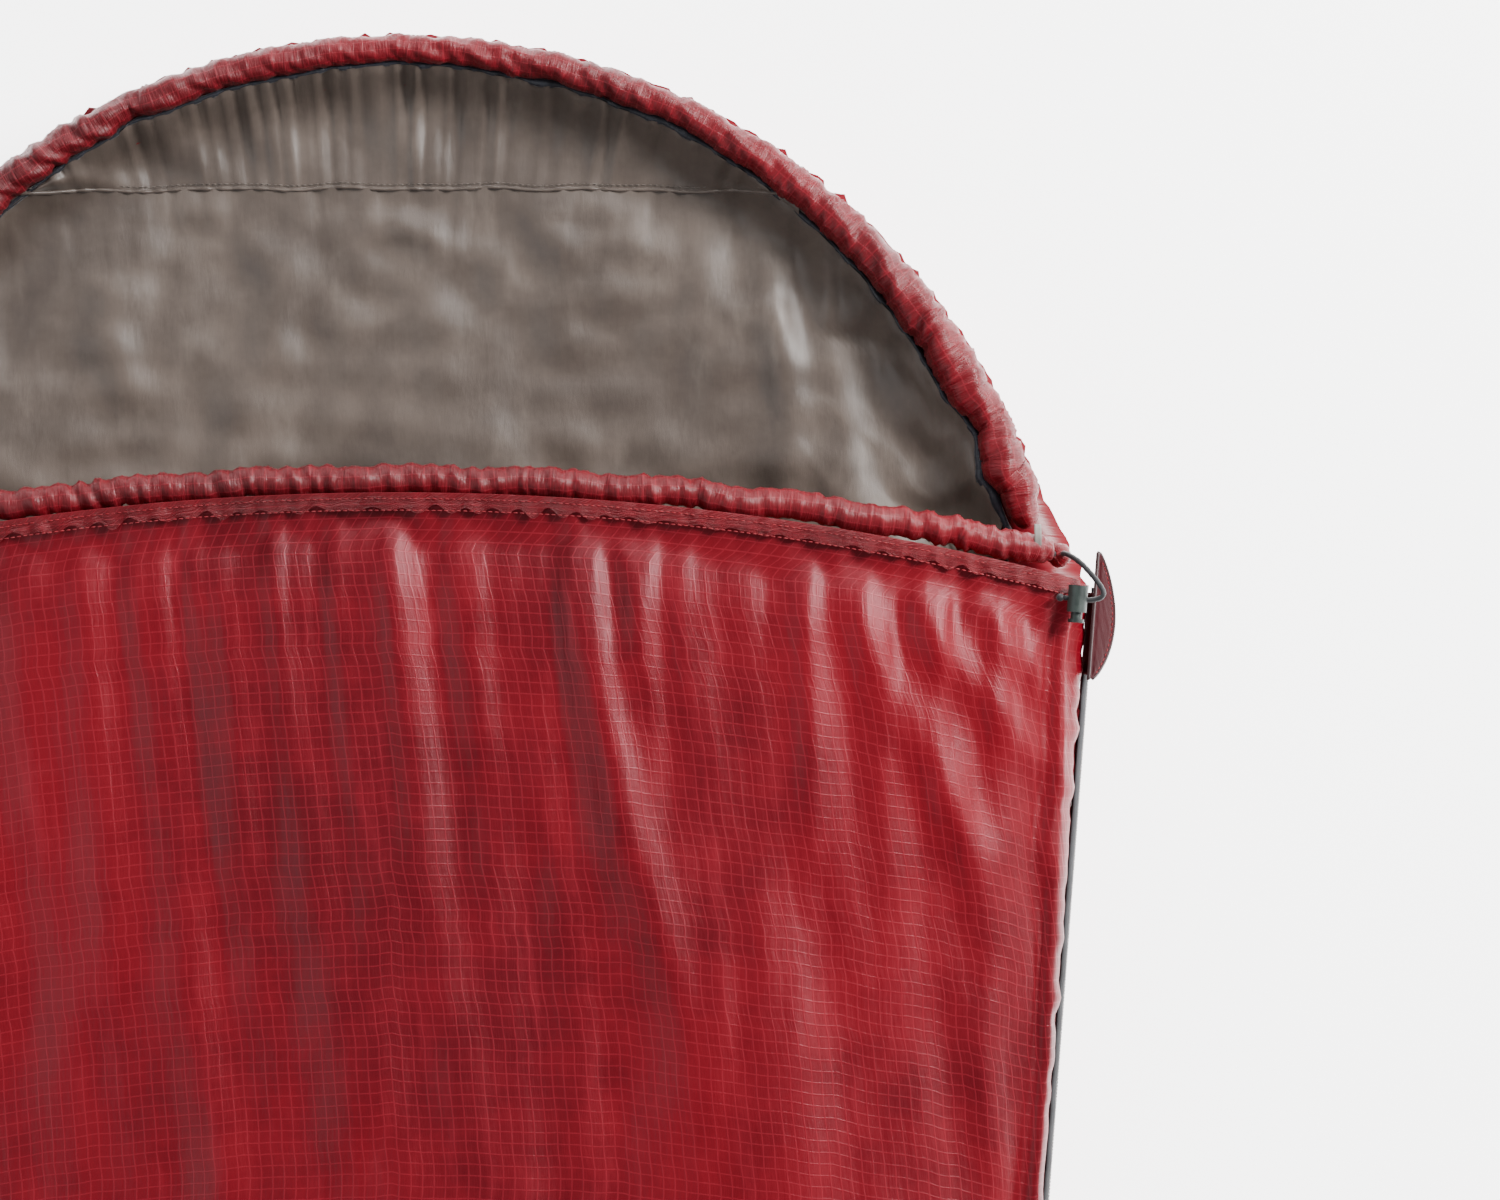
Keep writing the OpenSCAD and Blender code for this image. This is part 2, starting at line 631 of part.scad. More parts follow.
underside_panel();
back_shell();
back_fill();
back_lining();
foot_shell();
foot_fill();
foot_lining();
foot_loops();
front_shell();
front_fill();
front_lining();
chest_hem();
hood_shell();
hood_fill();
hood_lining();
hood_crown_lining();
hood_rim_tunnel();
hood_drawcord();
hood_piping();
draft_tube();
back_zip_tape();
back_zip_coil();
back_top_stop();
zip_bottom_box();
flap_shell();
flap_fill();
flap_lining();
chest_tunnel();
chest_drawcord();
tunnel_end();
neck_strip();
flap_zip_tape();
flap_zip_coil();
flap_top_stop();
tab_anchor();
lock_barrel();
lock_spring();
cord_knot();
closure_tab();
tab_hook_patch();
lock_plunger();
slider_body();
slider_pin();
zip_pull();
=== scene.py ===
import bpy, bmesh, math
import numpy as np
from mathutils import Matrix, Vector


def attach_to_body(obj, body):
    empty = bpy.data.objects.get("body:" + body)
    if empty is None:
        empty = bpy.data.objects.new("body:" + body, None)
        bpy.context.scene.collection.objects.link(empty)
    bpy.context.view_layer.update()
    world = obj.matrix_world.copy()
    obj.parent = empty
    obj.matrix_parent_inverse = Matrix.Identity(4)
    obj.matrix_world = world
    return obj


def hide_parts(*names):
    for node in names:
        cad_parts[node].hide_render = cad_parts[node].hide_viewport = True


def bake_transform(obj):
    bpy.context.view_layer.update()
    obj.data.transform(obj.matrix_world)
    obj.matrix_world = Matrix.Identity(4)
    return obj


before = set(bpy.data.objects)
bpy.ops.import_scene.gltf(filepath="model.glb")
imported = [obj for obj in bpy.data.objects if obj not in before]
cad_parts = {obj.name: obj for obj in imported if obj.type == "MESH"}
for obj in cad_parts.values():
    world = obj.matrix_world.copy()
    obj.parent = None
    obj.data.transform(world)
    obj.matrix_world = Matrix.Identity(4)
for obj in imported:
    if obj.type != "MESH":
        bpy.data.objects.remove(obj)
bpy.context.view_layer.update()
scene = bpy.context.scene
MM = 0.001

# ---------------------------------------------------------------- camera, light, floor
VIEW_AT, VIEW_HIGH = (0.196, 0.7308), 4.747  # the picture's middle on the bag, and the camera's height
FLOOR_GLOW = 4.2  # the floor gives off this much light, so that it looks white
cam = bpy.data.objects.new("camera", bpy.data.cameras.new("camera"))
scene.collection.objects.link(cam)
cam.data.lens, cam.data.sensor_width = 200, 36
cam.data.clip_end = 50
cam.location = (*VIEW_AT, VIEW_HIGH)
cam.rotation_euler = (0, 0, 0)
scene.camera = cam


def area_light(name, at, target, size, watts, colour=(1, 1, 1)):
    light = bpy.data.lights.new(name, "AREA")
    light.shape, light.size, light.energy, light.color = "DISK", size, watts, colour
    o = bpy.data.objects.new(name, light)
    scene.collection.objects.link(o)
    o.location = at
    d = [t - a for t, a in zip(target, at)]
    o.rotation_euler = Vector(d).to_track_quat("-Z", "Y").to_euler()
    o.visible_camera = False


area_light("key", (2.3, 1.9, 1.7), (0.15, 0.6, 0), 1.1, 165, (1, 0.985, 0.965))
area_light("fill", (-1.9, 0.4, 2.2), (0.1, 0.6, 0), 2.0, 18, (0.97, 0.985, 1))
area_light("head", (0.1, 2.7, 1.5), (0.1, 0.7, 0), 1.2, 26)
world = bpy.data.worlds.new("studio")
scene.world = world
world.use_nodes = True
world.node_tree.nodes["Background"].inputs[0].default_value = (0.97, 0.98, 1, 1)
world.node_tree.nodes["Background"].inputs[1].default_value = 0.34

# ---------------------------------------------------------------- the bag's shape, in millimetres
H, SEAM, CORNER, FOOT_LEN, UNDER = 140.0, 55.0, 44.0, 150.0, 1.2
R_HOOD, Y_HOOD, Y_TOP, Y_FOOT = 381.0, 669.0, 1050.0, -900.0
TAPER = (R_HOOD - 263.0) / (Y_HOOD - Y_FOOT)
TILT = math.atan(TAPER)
IN_SIDE, IN_FRONT, IN_BACK = (0, 1.5, 32.5, 34), (0, 1.5, 36.5, 38), (0, 1.5, 28.5, 30)
EDGE, DOME, Q_END = Y_HOOD + 70, 0.833, 1.2
# depth of a quilt's inner side and of the lining, in layers from the outside
QUILT_IN, LINING_IN = 1.9, 2.5
FOOT_ROUND, CORD_R, FRONT_COLS = 0.62, 1.5, 186


def depth(table, k):
    return float(np.interp(k, [0, 1, 2, 3], table))


def half_w(y):
    return R_HOOD - TAPER * (Y_HOOD - y)


def edge_y(x, w):
    return EDGE + 50 * (1 - np.minimum(np.abs(x) / w, 1) ** 2)


def front_x(q, y, k):
    return np.sign(q) * (half_w(y) - depth(IN_SIDE, k)) * np.sin(np.pi / 2 * np.minimum(np.abs(q),
        1)) ** DOME


def front_z(q, y, k, lift):
    e = np.maximum(0, 1 - (edge_y(front_x(q, y, k), half_w(y)) - y) / 60)
    high = H - 15 * e * e - depth(IN_FRONT, k) * (1 - 0.6 * e ** 1.5)
    foot = SEAM + lift
    knee = foot + 18 * (high - foot) / (H - foot)
    arch = knee + (high - knee) * np.maximum(np.cos(np.pi / 2 * np.minimum(np.abs(q), 1)), 0) ** DOME
    return np.where(np.abs(q) >= 1, knee + (foot - knee) * (np.abs(q) - 1) / (Q_END - 1), arch)


def front_edge(q, k):
    y = np.full_like(q, EDGE)
    for _ in range(16):
        y = edge_y(front_x(q, y, k), half_w(y))
    return y


def front_at(q, y, k, lift):
    return np.stack([front_x(q, y, k), y + 0 * q, front_z(q, y, k, lift)], -1)


def tunnel_at(q, lift):
    o = front_at(q, front_edge(q, 0), 0, lift)
    i = front_at(q, front_edge(q, 3), 3, lift)
    return np.stack([(o[..., 0] + i[..., 0]) / 2, np.maximum(o[..., 1], i[..., 1]) + 8.52,
                     (o[..., 2] + i[..., 2]) / 2], -1)


ZIP0 = np.array([half_w(EDGE - 4), EDGE - 4, SEAM + 1])
ZX, ZY = np.array([math.cos(TILT), -math.sin(TILT), 0]), np.array([math.sin(TILT), math.cos(TILT), 0])
ZZ = np.array([0.0, 0, 1])


def on_zip(p):
    p = np.asarray(p, float)
    return ZIP0 + p[..., :1] * ZX + p[..., 1:2] * ZY + p[..., 2:] * ZZ


# the fold of the flap
FOLD_A, FOLD_B = np.array([-226.378, 772.045, 140.5]), np.array([307.673, -306.0, 140.5])
FOLD_N = np.array([0.896079, 0.443907, 0])
REACH = 52.0


def over_fold(obj):
    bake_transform(obj)


def lift_at(x, y):
    """how far the flap's cloth stands above the fixed part's, across the fold"""
    past = (x - FOLD_A[0]) * FOLD_N[0] + (y - FOLD_A[1]) * FOLD_N[1]
    return 2 * np.clip(past / REACH + 0.5, 0, 1)


def attach(obj, body, nodes=()):
    """body None only bakes the piece's transform; any other body hangs it under that body's empty; nodes are
    the parts it replaces, which get hidden
    """
    if body is None:
        over_fold(obj)
    else:
        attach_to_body(obj, body)
    if nodes:
        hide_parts(*nodes)


# ---------------------------------------------------------------- folds and noise
def waves(t, seed, short, long, n=9):
    r = np.random.default_rng(seed)
    wl = np.exp(r.uniform(math.log(short), math.log(long), n))
    ph = r.uniform(0, 2 * math.pi, n)
    return sum(np.sin(2 * math.pi * t / w + p) for w, p in zip(wl, ph)) / math.sqrt(n / 2) / 1.6


def field(x, y, seed, short, long, n=18, spread=math.pi, lean=0.0):
    r = np.random.default_rng(seed)
    total = 0
    for _ in range(n):
        w = math.exp(r.uniform(math.log(short), math.log(long)))
        a = lean + r.uniform(-spread / 2, spread / 2)
        total = total + np.sin(2 * math.pi * (x * math.cos(a) + y * math.sin(a)) / w + r.uniform(0, 6.28))
    return total / math.sqrt(n / 2) / 1.6


def fold(x, y, pts, amp, width, odd=0.0, ends=0.5):
    """height of one ridge (or, with odd, of a step) along a line of points"""
    pts = np.asarray(pts, float)
    seg = np.linalg.norm(np.diff(pts, axis=0), axis=1)
    whole, best = seg.sum(), np.full(np.shape(x), 1e9)
    run, side, done = np.zeros(np.shape(x)), np.zeros(np.shape(x)), 0.0
    for a, b, l in zip(pts[:-1], pts[1:], seg):
        u = (b - a) / l
        raw = (x - a[0]) * u[0] + (y - a[1]) * u[1]
        t = np.clip(raw, 0, l)
        dx, dy = x - a[0] - t * u[0], y - a[1] - t * u[1]
        d = np.hypot(dx, dy)
        near = d < best
        best = np.where(near, d, best)
        run = np.where(near, (done + t) / whole, run)
        side = np.where(near, np.sign(dx * u[1] - dy * u[0]) * d, side)
        done += l
    taper = np.maximum(np.sin(math.pi * np.clip(run, 0.02, 0.98)), 0) ** ends
    g = np.exp(-(best / width) ** 2)
    return taper * (amp * g + odd * side / width * g)


def ridges(x, y, table):
    """sum of folds, each given as height, width, odd and its points"""
    return sum(fold(x, y, pts, amp, width, odd=odd) for amp, width, odd, pts in table)


# ---------------------------------------------------------------- mesh helpers
def grid_faces(nr, nc, off=0, wrap=False, flip=False):
    i, j = np.meshgrid(np.arange(nr - 1), np.arange(nc if wrap else nc - 1), indexing="ij")
    a, b = i * nc + j, i * nc + (j + 1) % nc
    f = np.stack([a, b, b + nc, a + nc], -1).reshape(-1, 4) + off
    return f[:, ::-1] if flip else f


def build(name, verts, faces, materials, uv=None, index=None, closed=False):
    me = bpy.data.meshes.new(name)
    faces = [tuple(int(v) for v in f) for f in faces]
    me.from_pydata((np.asarray(verts, float) * MM).tolist(), [], faces)
    o = bpy.data.objects.new(name, me)
    scene.collection.objects.link(o)
    for m in materials:
        me.materials.append(m)
    if index is not None:
        me.polygons.foreach_set("material_index", np.asarray(index, np.int32))
    if uv is not None:
        layer = me.uv_layers.new(name="cloth")
        loops = np.zeros(len(me.loops), np.int32)
        me.loops.foreach_get("vertex_index", loops)
        layer.data.foreach_set("uv", (np.asarray(uv, float) * MM)[loops].ravel())
    if closed:
        bm = bmesh.new()
        bm.from_mesh(me)
        bmesh.ops.recalc_face_normals(bm, faces=bm.faces)
        bm.to_mesh(me)
        bm.free()
    me.polygons.foreach_set("use_smooth", np.ones(len(me.polygons), bool))
    me.update()
    return o


def arc(p, axis):
    d = np.linalg.norm(np.diff(p, axis=axis), axis=-1)
    return np.concatenate([np.zeros_like(np.take(d, [0], axis)), np.cumsum(d, axis)], axis)


def cloth_uv(p):
    return np.stack([arc(p, 1), arc(p, 0)], -1).reshape(-1, 2)


def sheet_piece(name, p, material, uv=None):
    nr, nc = p.shape[:2]
    return build(name, p.reshape(-1, 3), grid_faces(nr, nc), [material], cloth_uv(p) if uv is None else uv)


def slab_piece(name, outer, inner, mats, wrap=False):
    """closed padded form between two grids; mats is (outside, inside)"""
    nr, nc = outer.shape[:2]
    n = nr * nc
    faces = [grid_faces(nr, nc, wrap=wrap), grid_faces(nr, nc, n, wrap=wrap, flip=True)]
    first = len(faces[0])
    loop = np.arange(nc) if wrap else np.arange(nc - 1)
    rim = []
    for r in (0, (nr - 1) * nc):
        a, b = r + loop, r + (loop + 1) % nc
        rim.append(np.stack([a, b, b + n, a + n], -1))
    if not wrap:
        for c in (0, nc - 1):
            a = np.arange(nr - 1) * nc + c
            rim.append(np.stack([a, a + nc, a + nc + n, a + n], -1))
    faces += rim
    faces = np.concatenate(faces)
    index = np.zeros(len(faces), int)
    index[first:2 * first] = 1
    uv = np.concatenate([cloth_uv(outer), cloth_uv(inner)])
    return build(name, np.concatenate([outer.reshape(-1, 3), inner.reshape(-1, 3)]), faces, list(mats), uv,
                 index, closed=True)


def frames_along(path):
    t = np.gradient(path, axis=0)
    t /= np.linalg.norm(t, axis=1)[:, None]
    u = np.zeros_like(path)
    ref = np.array([0, 0, 1.0]) if abs(t[0][2]) < 0.9 else np.array([0, 1.0, 0])
    prev = np.cross(ref, t[0])
    for i in range(len(path)):
        prev = prev - prev.dot(t[i]) * t[i]
        prev /= np.linalg.norm(prev)
        u[i] = prev
    return t, u, np.cross(t, u)


def tube(name, path, radius, materials, n=20, squash=1.0, caps=True, around=None):
    """radius: number or (rings, n) array of radii"""
    path = np.asarray(path, float)
    t, u, v = frames_along(path)
    a = np.linspace(0, 2 * math.pi, n, endpoint=False)
    r = np.broadcast_to(radius if np.ndim(radius) == 2 else np.reshape(radius, (-1, 1)), (len(path), n))
    p = path[:, None] + r[..., None] * (np.cos(a)[None, :, None] * u[:, None] + squash * np.sin(a)[None, :,
        None] * v[:, None])
    faces = [tuple(f) for f in grid_faces(len(path), n, wrap=True)]
    verts = p.reshape(-1, 3)
    run = arc(path[:, None], 0).reshape(-1, 1) + np.zeros((1, n))
    uv = np.stack([run, np.broadcast_to(a * np.mean(r), run.shape)], -1).reshape(-1, 2)
    if caps:
        verts = np.concatenate([verts, [path[0] - 0.35 * np.mean(r[0]) * t[0], path[-1]
            + 0.35 * np.mean(r[-1]) * t[-1]]])
        uv = np.concatenate([uv, uv[[0, -1]]])
        last = (len(path) - 1) * n
        for j in range(n):
            faces.append(((j + 1) % n, j, len(verts) - 2))
            faces.append((last + j, last + (j + 1) % n, len(verts) - 1))
    return build(name, verts, faces, materials, uv, closed=True)


def resample(pts, step, smooth=True):
    """points of a smooth curve through pts, evenly spaced"""
    pts = np.asarray(pts, float)
    if smooth and len(pts) > 2:
        ext = np.concatenate([[2 * pts[0] - pts[1]], pts, [2 * pts[-1] - pts[-2]]])
        out = []
        for i in range(1, len(ext) - 2):
            a, b, c, d = ext[i - 1:i + 3]
            for s in np.linspace(0, 1, 24, endpoint=False):
                out.append(0.5 * (2 * b + (c - a) * s + (2 * a - 5 * b + 4 * c - d) * s * s
                    + (3 * b - a - 3 * c + d) * s ** 3))
        pts = np.array(out + [ext[-2]])
    run = np.concatenate([[0], np.cumsum(np.linalg.norm(np.diff(pts, axis=0), axis=1))])
    t = np.linspace(0, run[-1], max(int(run[-1] / step), 2) + 1)
    return np.stack([np.interp(t, run, pts[:, i]) for i in range(3)], -1)


def stitches(name, path, material, length=2.6, gap=1.3, r=0.34, up=(0, 0, 1)):
    """a row of short threads lying along a path"""
    path = resample(path, 0.5, smooth=False)
    step = int((length + gap) / 0.5)
    verts, faces = [], []
    up = np.asarray(up, float)
    for i in range(0, len(path) - step, step):
        a, b = path[i], path[min(i + int(length / 0.5), len(path) - 1)]
        t = b - a
        if np.linalg.norm(t) < 0.5:
            continue
        t /= np.linalg.norm(t)
        s = np.cross(up, t)
        s /= max(np.linalg.norm(s), 1e-6)
        w = np.cross(t, s)
        base = len(verts)
        for f, h in ((0, 0.25), (0.25, 1), (0.75, 1), (1, 0.25)):
            c = a + (b - a) * f
            verts += [c + h * r * s, c + h * r * w, c - h * r * s, c - h * r * w]
        for k in range(3):
            for j in range(4):
                faces.append((base + 4 * k + j, base + 4 * k + (j + 1) % 4, base + 4 * k + 4 + (j + 1) % 4,
                              base + 4 * k + 4 + j))
        faces += [(base + 3, base + 2, base + 1, base), (base + 12, base + 13, base + 14, base + 15)]
    return build(name, verts, faces, [material])


def buckle(p, wide, tall, hold, weights, frames=20, pressure=2.0, cap=12.0, bend=0.4):
    """the cloth p (a grid, in mm) settles after being cut wider and taller than the room it has.
    hold marks the sewn vertices; weights pull the rest gently back."""
    nr, nc = p.shape[:2]
    me = bpy.data.meshes.new("settling")
    me.from_pydata((p.reshape(-1, 3) * MM).tolist(), [], [tuple(int(v) for v in f) for f in grid_faces(nr,
        nc)])
    o = bpy.data.objects.new("settling", me)
    scene.collection.objects.link(o)
    o.shape_key_add(name="now")
    key = o.shape_key_add(name="cut")
    flat = np.stack([wide, tall, 0 * wide], -1).reshape(-1, 3) * MM
    key.data.foreach_set("co", flat.ravel())
    key.value = 0
    group = o.vertex_groups.new(name="hold")
    w = np.where(hold, 1.0, weights).ravel()
    for value in np.unique(np.round(w, 3)):
        if value > 0:
            group.add([int(i) for i in np.flatnonzero(np.abs(w - value) < 0.0006)], float(value), "REPLACE")
    mod = o.modifiers.new("cloth", "CLOTH")
    s = mod.settings
    s.rest_shape_key = key
    s.quality, s.mass, s.air_damping = 6, 0.2, 2
    s.tension_stiffness = s.compression_stiffness = 15
    s.shear_stiffness, s.bending_stiffness = 3, bend
    s.vertex_group_mass, s.pin_stiffness = "hold", 1
    s.use_pressure, s.uniform_pressure_force = True, pressure
    s.effector_weights.gravity = 0
    mod.collision_settings.use_collision = False
    mod.point_cache.frame_start, mod.point_cache.frame_end = 1, frames
    for f in range(1, frames + 1):
        scene.frame_set(f)
    got = o.evaluated_get(bpy.context.evaluated_depsgraph_get()).to_mesh()
    co = np.zeros(nr * nc * 3, np.float32)
    got.vertices.foreach_get("co", co)
    bpy.data.objects.remove(o)
    scene.frame_set(1)
    move = co.reshape(nr, nc, 3) / MM - p
    size = np.linalg.norm(move, axis=-1, keepdims=True)
    print("SETTLED", nr, nc, "mean", round(float(size.mean()), 2), "most", round(float(size.max()), 2),
          flush=True)
    return p + move * np.minimum(1, cap / np.maximum(size, 1e-6))


# ---------------------------------------------------------------- materials
def lin(r, g, b):
    return tuple((c / 255 / 12.92) if c / 255 <= 0.04045 else ((c / 255 + 0.055) / 1.055) ** 2.4
                 for c in (r, g, b)) + (1,)


class Mat:
    def __init__(self, name, rough=0.5, **sockets):
        self.m = bpy.data.materials.new(name)
        self.m.use_nodes = True
        self.t = self.m.node_tree
        self.b = self.t.nodes["Principled BSDF"]
        self.b.inputs["Roughness"].default_value = rough
        for k, v in sockets.items():
            self.b.inputs[k.replace("_", " ")].default_value = v

    def n(self, kind, *ins, out=0, **props):
        node = self.t.nodes.new("ShaderNode" + kind)
        for k, v in props.items():
            setattr(node, k, v)
        for i, v in enumerate(ins):
            if v is None:
                continue
            if hasattr(v, "links") or isinstance(v, bpy.types.NodeSocket):
                self.t.links.new(v, node.inputs[i])
            else:
                node.inputs[i].default_value = v
        return node.outputs[out]

    def math(self, op, a, b=0.0, c=0.0):
        return self.n("Math", a, b, c, operation=op)

    def mix(self, f, a, b):
        node = self.t.nodes.new("ShaderNodeMix")
        node.data_type = "RGBA"
        for k, v in ((0, f), (6, a), (7, b)):
            if isinstance(v, bpy.types.NodeSocket):
                self.t.links.new(v, node.inputs[k])
            else:
                node.inputs[k].default_value = v
        return node.outputs[2]

    def noise(self, vec, scale, detail=3.0, rough=0.55, out=0):
        node = self.t.nodes.new("ShaderNodeTexNoise")
        if vec is not None:
            self.t.links.new(vec, node.inputs["Vector"])
        node.inputs["Scale"].default_value = scale
        node.inputs["Detail"].default_value = detail
        node.inputs["Roughness"].default_value = rough
        return node.outputs[out]

    def stretch(self, vec, x, y, z=1.0, turn=0.0):
        node = self.t.nodes.new("ShaderNodeMapping")
        self.t.links.new(vec, node.inputs["Vector"])
        node.inputs["Scale"].default_value = (x, y, z)
        node.inputs["Rotation"].default_value = (0, 0, turn)
        return node.outputs[0]

    def ramp(self, v, lo, hi, a=0.0, b=1.0):
        node = self.t.nodes.new("ShaderNodeMapRange")
        node.interpolation_type = "SMOOTHSTEP"
        self.t.links.new(v, node.inputs[0])
        for i, x in ((1, lo), (2, hi), (3, a), (4, b)):
            node.inputs[i].default_value = x
        return node.outputs[0]

    def bump(self, height, distance, strength=1.0, normal=None):
        node = self.t.nodes.new("ShaderNodeBump")
        node.inputs["Strength"].default_value = strength
        node.inputs["Distance"].default_value = distance
        self.t.links.new(height, node.inputs["Height"])
        if normal is not None:
            self.t.links.new(normal, node.inputs["Normal"])
        return node.outputs[0]

    def end(self, colour=None, rough=None, normal=None):
        for v, k in ((colour, "Base Color"), (rough, "Roughness"), (normal, "Normal")):
            if v is not None:
                self.t.links.new(v, self.b.inputs[k])
        return self.m


def threads(m, vec, pitch):
    """height of a plain weave with that pitch"""
    split = m.t.nodes.new("ShaderNodeSeparateXYZ")
    m.t.links.new(vec, split.inputs[0])
    k = 2 * math.pi / pitch
    a = m.math("SINE", m.math("MULTIPLY", split.outputs[0], k))
    b = m.math("SINE", m.math("MULTIPLY", split.outputs[1], k))
    return m.math("MULTIPLY", a, b), split


def woven(name, dark, base, light, rough, pitch=0.0007, grid=0.0, grid_gain=0.3, crinkle=0.5, along=(60, 9),
          wear=None, **sockets):
    """a woven fabric on the cloth's own coordinates: weave, optional ripstop grid, crinkles with a painted
    highlight on their crests, faded wear
    """
    m = Mat(name, rough, **sockets)
    uv = m.n("UVMap", uv_map="cloth")
    obj = m.n("TexCoord", out=3)
    weave, split = threads(m, uv, pitch)
    tone = m.noise(obj, 4.5, 3, 0.6)
    blotch = m.noise(obj, 38, 4, 0.6)
    shade = m.math("ADD", m.math("MULTIPLY", tone, 0.65), m.math("MULTIPLY", blotch, 0.35))
    colour = m.mix(m.ramp(shade, 0.34, 0.66), dark, base)
    crease = m.noise(m.stretch(uv, along[0], along[1]), 1.0, 5, 0.62)
    # painted highlight: the crinkle crests are mixed up to a fifth of the way towards the light colour
    colour = m.mix(m.math("MULTIPLY", m.ramp(crease, 0.52, 0.78), 0.2), colour, light)
    height = m.math("MULTIPLY", weave, 0.10)
    r = m.math("ADD", m.math("MULTIPLY", blotch, 0.16), rough - 0.08)
    if grid:
        lines = []
        for k in (0, 1):
            f = m.math("FRACT", m.math("MULTIPLY", split.outputs[k], 1 / grid))
            lines.append(m.ramp(m.math("ABSOLUTE", m.math("SUBTRACT", f, 0.5)), 0.415, 0.47))
        net = m.math("MAXIMUM", *lines)
        colour = m.mix(m.math("MULTIPLY", net, grid_gain), colour, light)
        height = m.math("ADD", height, m.math("MULTIPLY", net, 0.35))
        r = m.math("SUBTRACT", r, m.math("MULTIPLY", net, 0.05))
    if wear is not None:
        rubbed = m.ramp(m.noise(m.stretch(obj, 9, 9, 9), 1.0, 6, 0.7), 0.62, 0.74)
        colour = m.mix(m.math("MULTIPLY", rubbed, 0.25), colour, wear)
        r = m.math("ADD", r, m.math("MULTIPLY", rubbed, 0.12))
    fine = m.bump(height, 0.00025, 0.55)
    return m.end(colour, r, m.bump(crease, 0.0022, crinkle, fine))


def tint(material, kind, green, blue):
    """colours a material's sheen or specular light, with its red left full"""
    material.node_tree.nodes["Principled BSDF"].inputs[kind + " Tint"].default_value = (1, green, blue, 1)


# the third red is the light tone of the ripstop grid lines and the painted highlight on the crinkle crests
RED_D, RED, RED_GRID_AND_HIGHLIGHT = lin(86, 0, 12), lin(118, 1, 20), lin(176, 48, 62)
shell = woven("ripstop_shell", RED_D, RED, RED_GRID_AND_HIGHLIGHT, 0.41, grid=0.0064, grid_gain=0.22, crinkle=0.45,
              wear=lin(140, 30, 42), Sheen_Weight=0.06, Sheen_Roughness=0.35, Specular_IOR_Level=0.5)
tint(shell, "Sheen", 0.5, 0.55)
tint(shell, "Specular", 0.55, 0.6)
shell_gather = woven("ripstop_gathered", RED_D, RED, RED_GRID_AND_HIGHLIGHT, 0.42, grid=0.0064, grid_gain=0.22, crinkle=0.8,
                     along=(240, 30),
                     wear=lin(140, 30, 42), Sheen_Weight=0.06, Sheen_Roughness=0.35,
                     Specular_IOR_Level=0.45)
tint(shell_gather, "Sheen", 0.62, 0.62)
satin = woven("satin_lining", lin(74, 64, 58), lin(104, 92, 84), lin(160, 148, 138), 0.44, pitch=0.0005,
              crinkle=0.4, along=(34, 11),
              wear=lin(126, 116, 108), Sheen_Weight=0.35, Sheen_Roughness=0.3, Specular_IOR_Level=0.55)
tint(satin, "Sheen", 0.95, 0.9)
trim = woven("satin_binding", lin(20, 22, 30), lin(33, 36, 48), lin(86, 90, 106), 0.40, crinkle=0.5,
             along=(200, 60), Sheen_Weight=0.2)
web = woven("webbing", lin(16, 16, 18), lin(30, 30, 33), lin(70, 70, 74), 0.62, pitch=0.0016, crinkle=0.15,
            Sheen_Weight=0.3)
strip_web = woven("strip_webbing", lin(96, 92, 88), lin(136, 130, 124), lin(190, 184, 176), 0.6,
                  pitch=0.0012, crinkle=0.15,
                  wear=lin(190, 92, 40), Sheen_Weight=0.2)
cordage = woven("braided_cord", lin(14, 14, 16), lin(30, 30, 34), lin(84, 84, 88), 0.55, pitch=0.0011,
                crinkle=0.1, Sheen_Weight=0.2)
# the tab and its binding use a darker copy of the shell red: painted shade, for a tab that hangs turned down
# out of the light
tab_red_painted_shade = woven("tab_fabric_painted_shade", lin(34, 1, 6), lin(54, 3, 10), lin(78, 16, 22), 0.6, crinkle=0.3,
                   along=(120, 60),
                   wear=lin(66, 14, 18), Specular_IOR_Level=0.2)
tab_rim_red_painted_shade = woven("tab_binding_painted_shade", lin(30, 4, 8), lin(48, 9, 14), lin(100, 44, 46), 0.5, pitch=0.0009,
                  crinkle=0.2, Sheen_Weight=0.3)
tape_cloth = woven("zip_tape_cloth", lin(20, 20, 24), lin(36, 36, 42), lin(78, 78, 84), 0.6, pitch=0.0009,
                   crinkle=0.15, Sheen_Weight=0.25)
thread_red = woven("thread_red", lin(120, 14, 26), lin(160, 30, 42), lin(205, 96, 100), 0.5, crinkle=0.1)
thread_grey = woven("thread_grey", lin(84, 76, 70), lin(120, 110, 102), lin(170, 160, 150), 0.5,
                    crinkle=0.1)


def plain(name, dark, base, light, rough, scale=180, bump=0.00012, metallic=0.0, **sockets):
    """moulded or enamelled surface: mottled colour, fine grain, lighter worn scuffs placed by stretched noise
    """
    m = Mat(name, rough, Metallic=metallic, **sockets)
    obj = m.n("TexCoord", out=3)
    grain = m.noise(obj, scale * 8, 3, 0.6)
    cloud = m.noise(obj, scale, 4, 0.6)
    colour = m.mix(m.ramp(cloud, 0.35, 0.65), dark, base)
    scuff = m.ramp(m.noise(m.stretch(obj, 3, 40, 3), 30, 6, 0.75), 0.60, 0.70)
    colour = m.mix(m.math("MULTIPLY", scuff, 0.4), colour, light)
    r = m.math("ADD", m.math("MULTIPLY", cloud, 0.2), rough - 0.08)
    return m.end(colour, r, m.bump(grain, bump, 0.6))


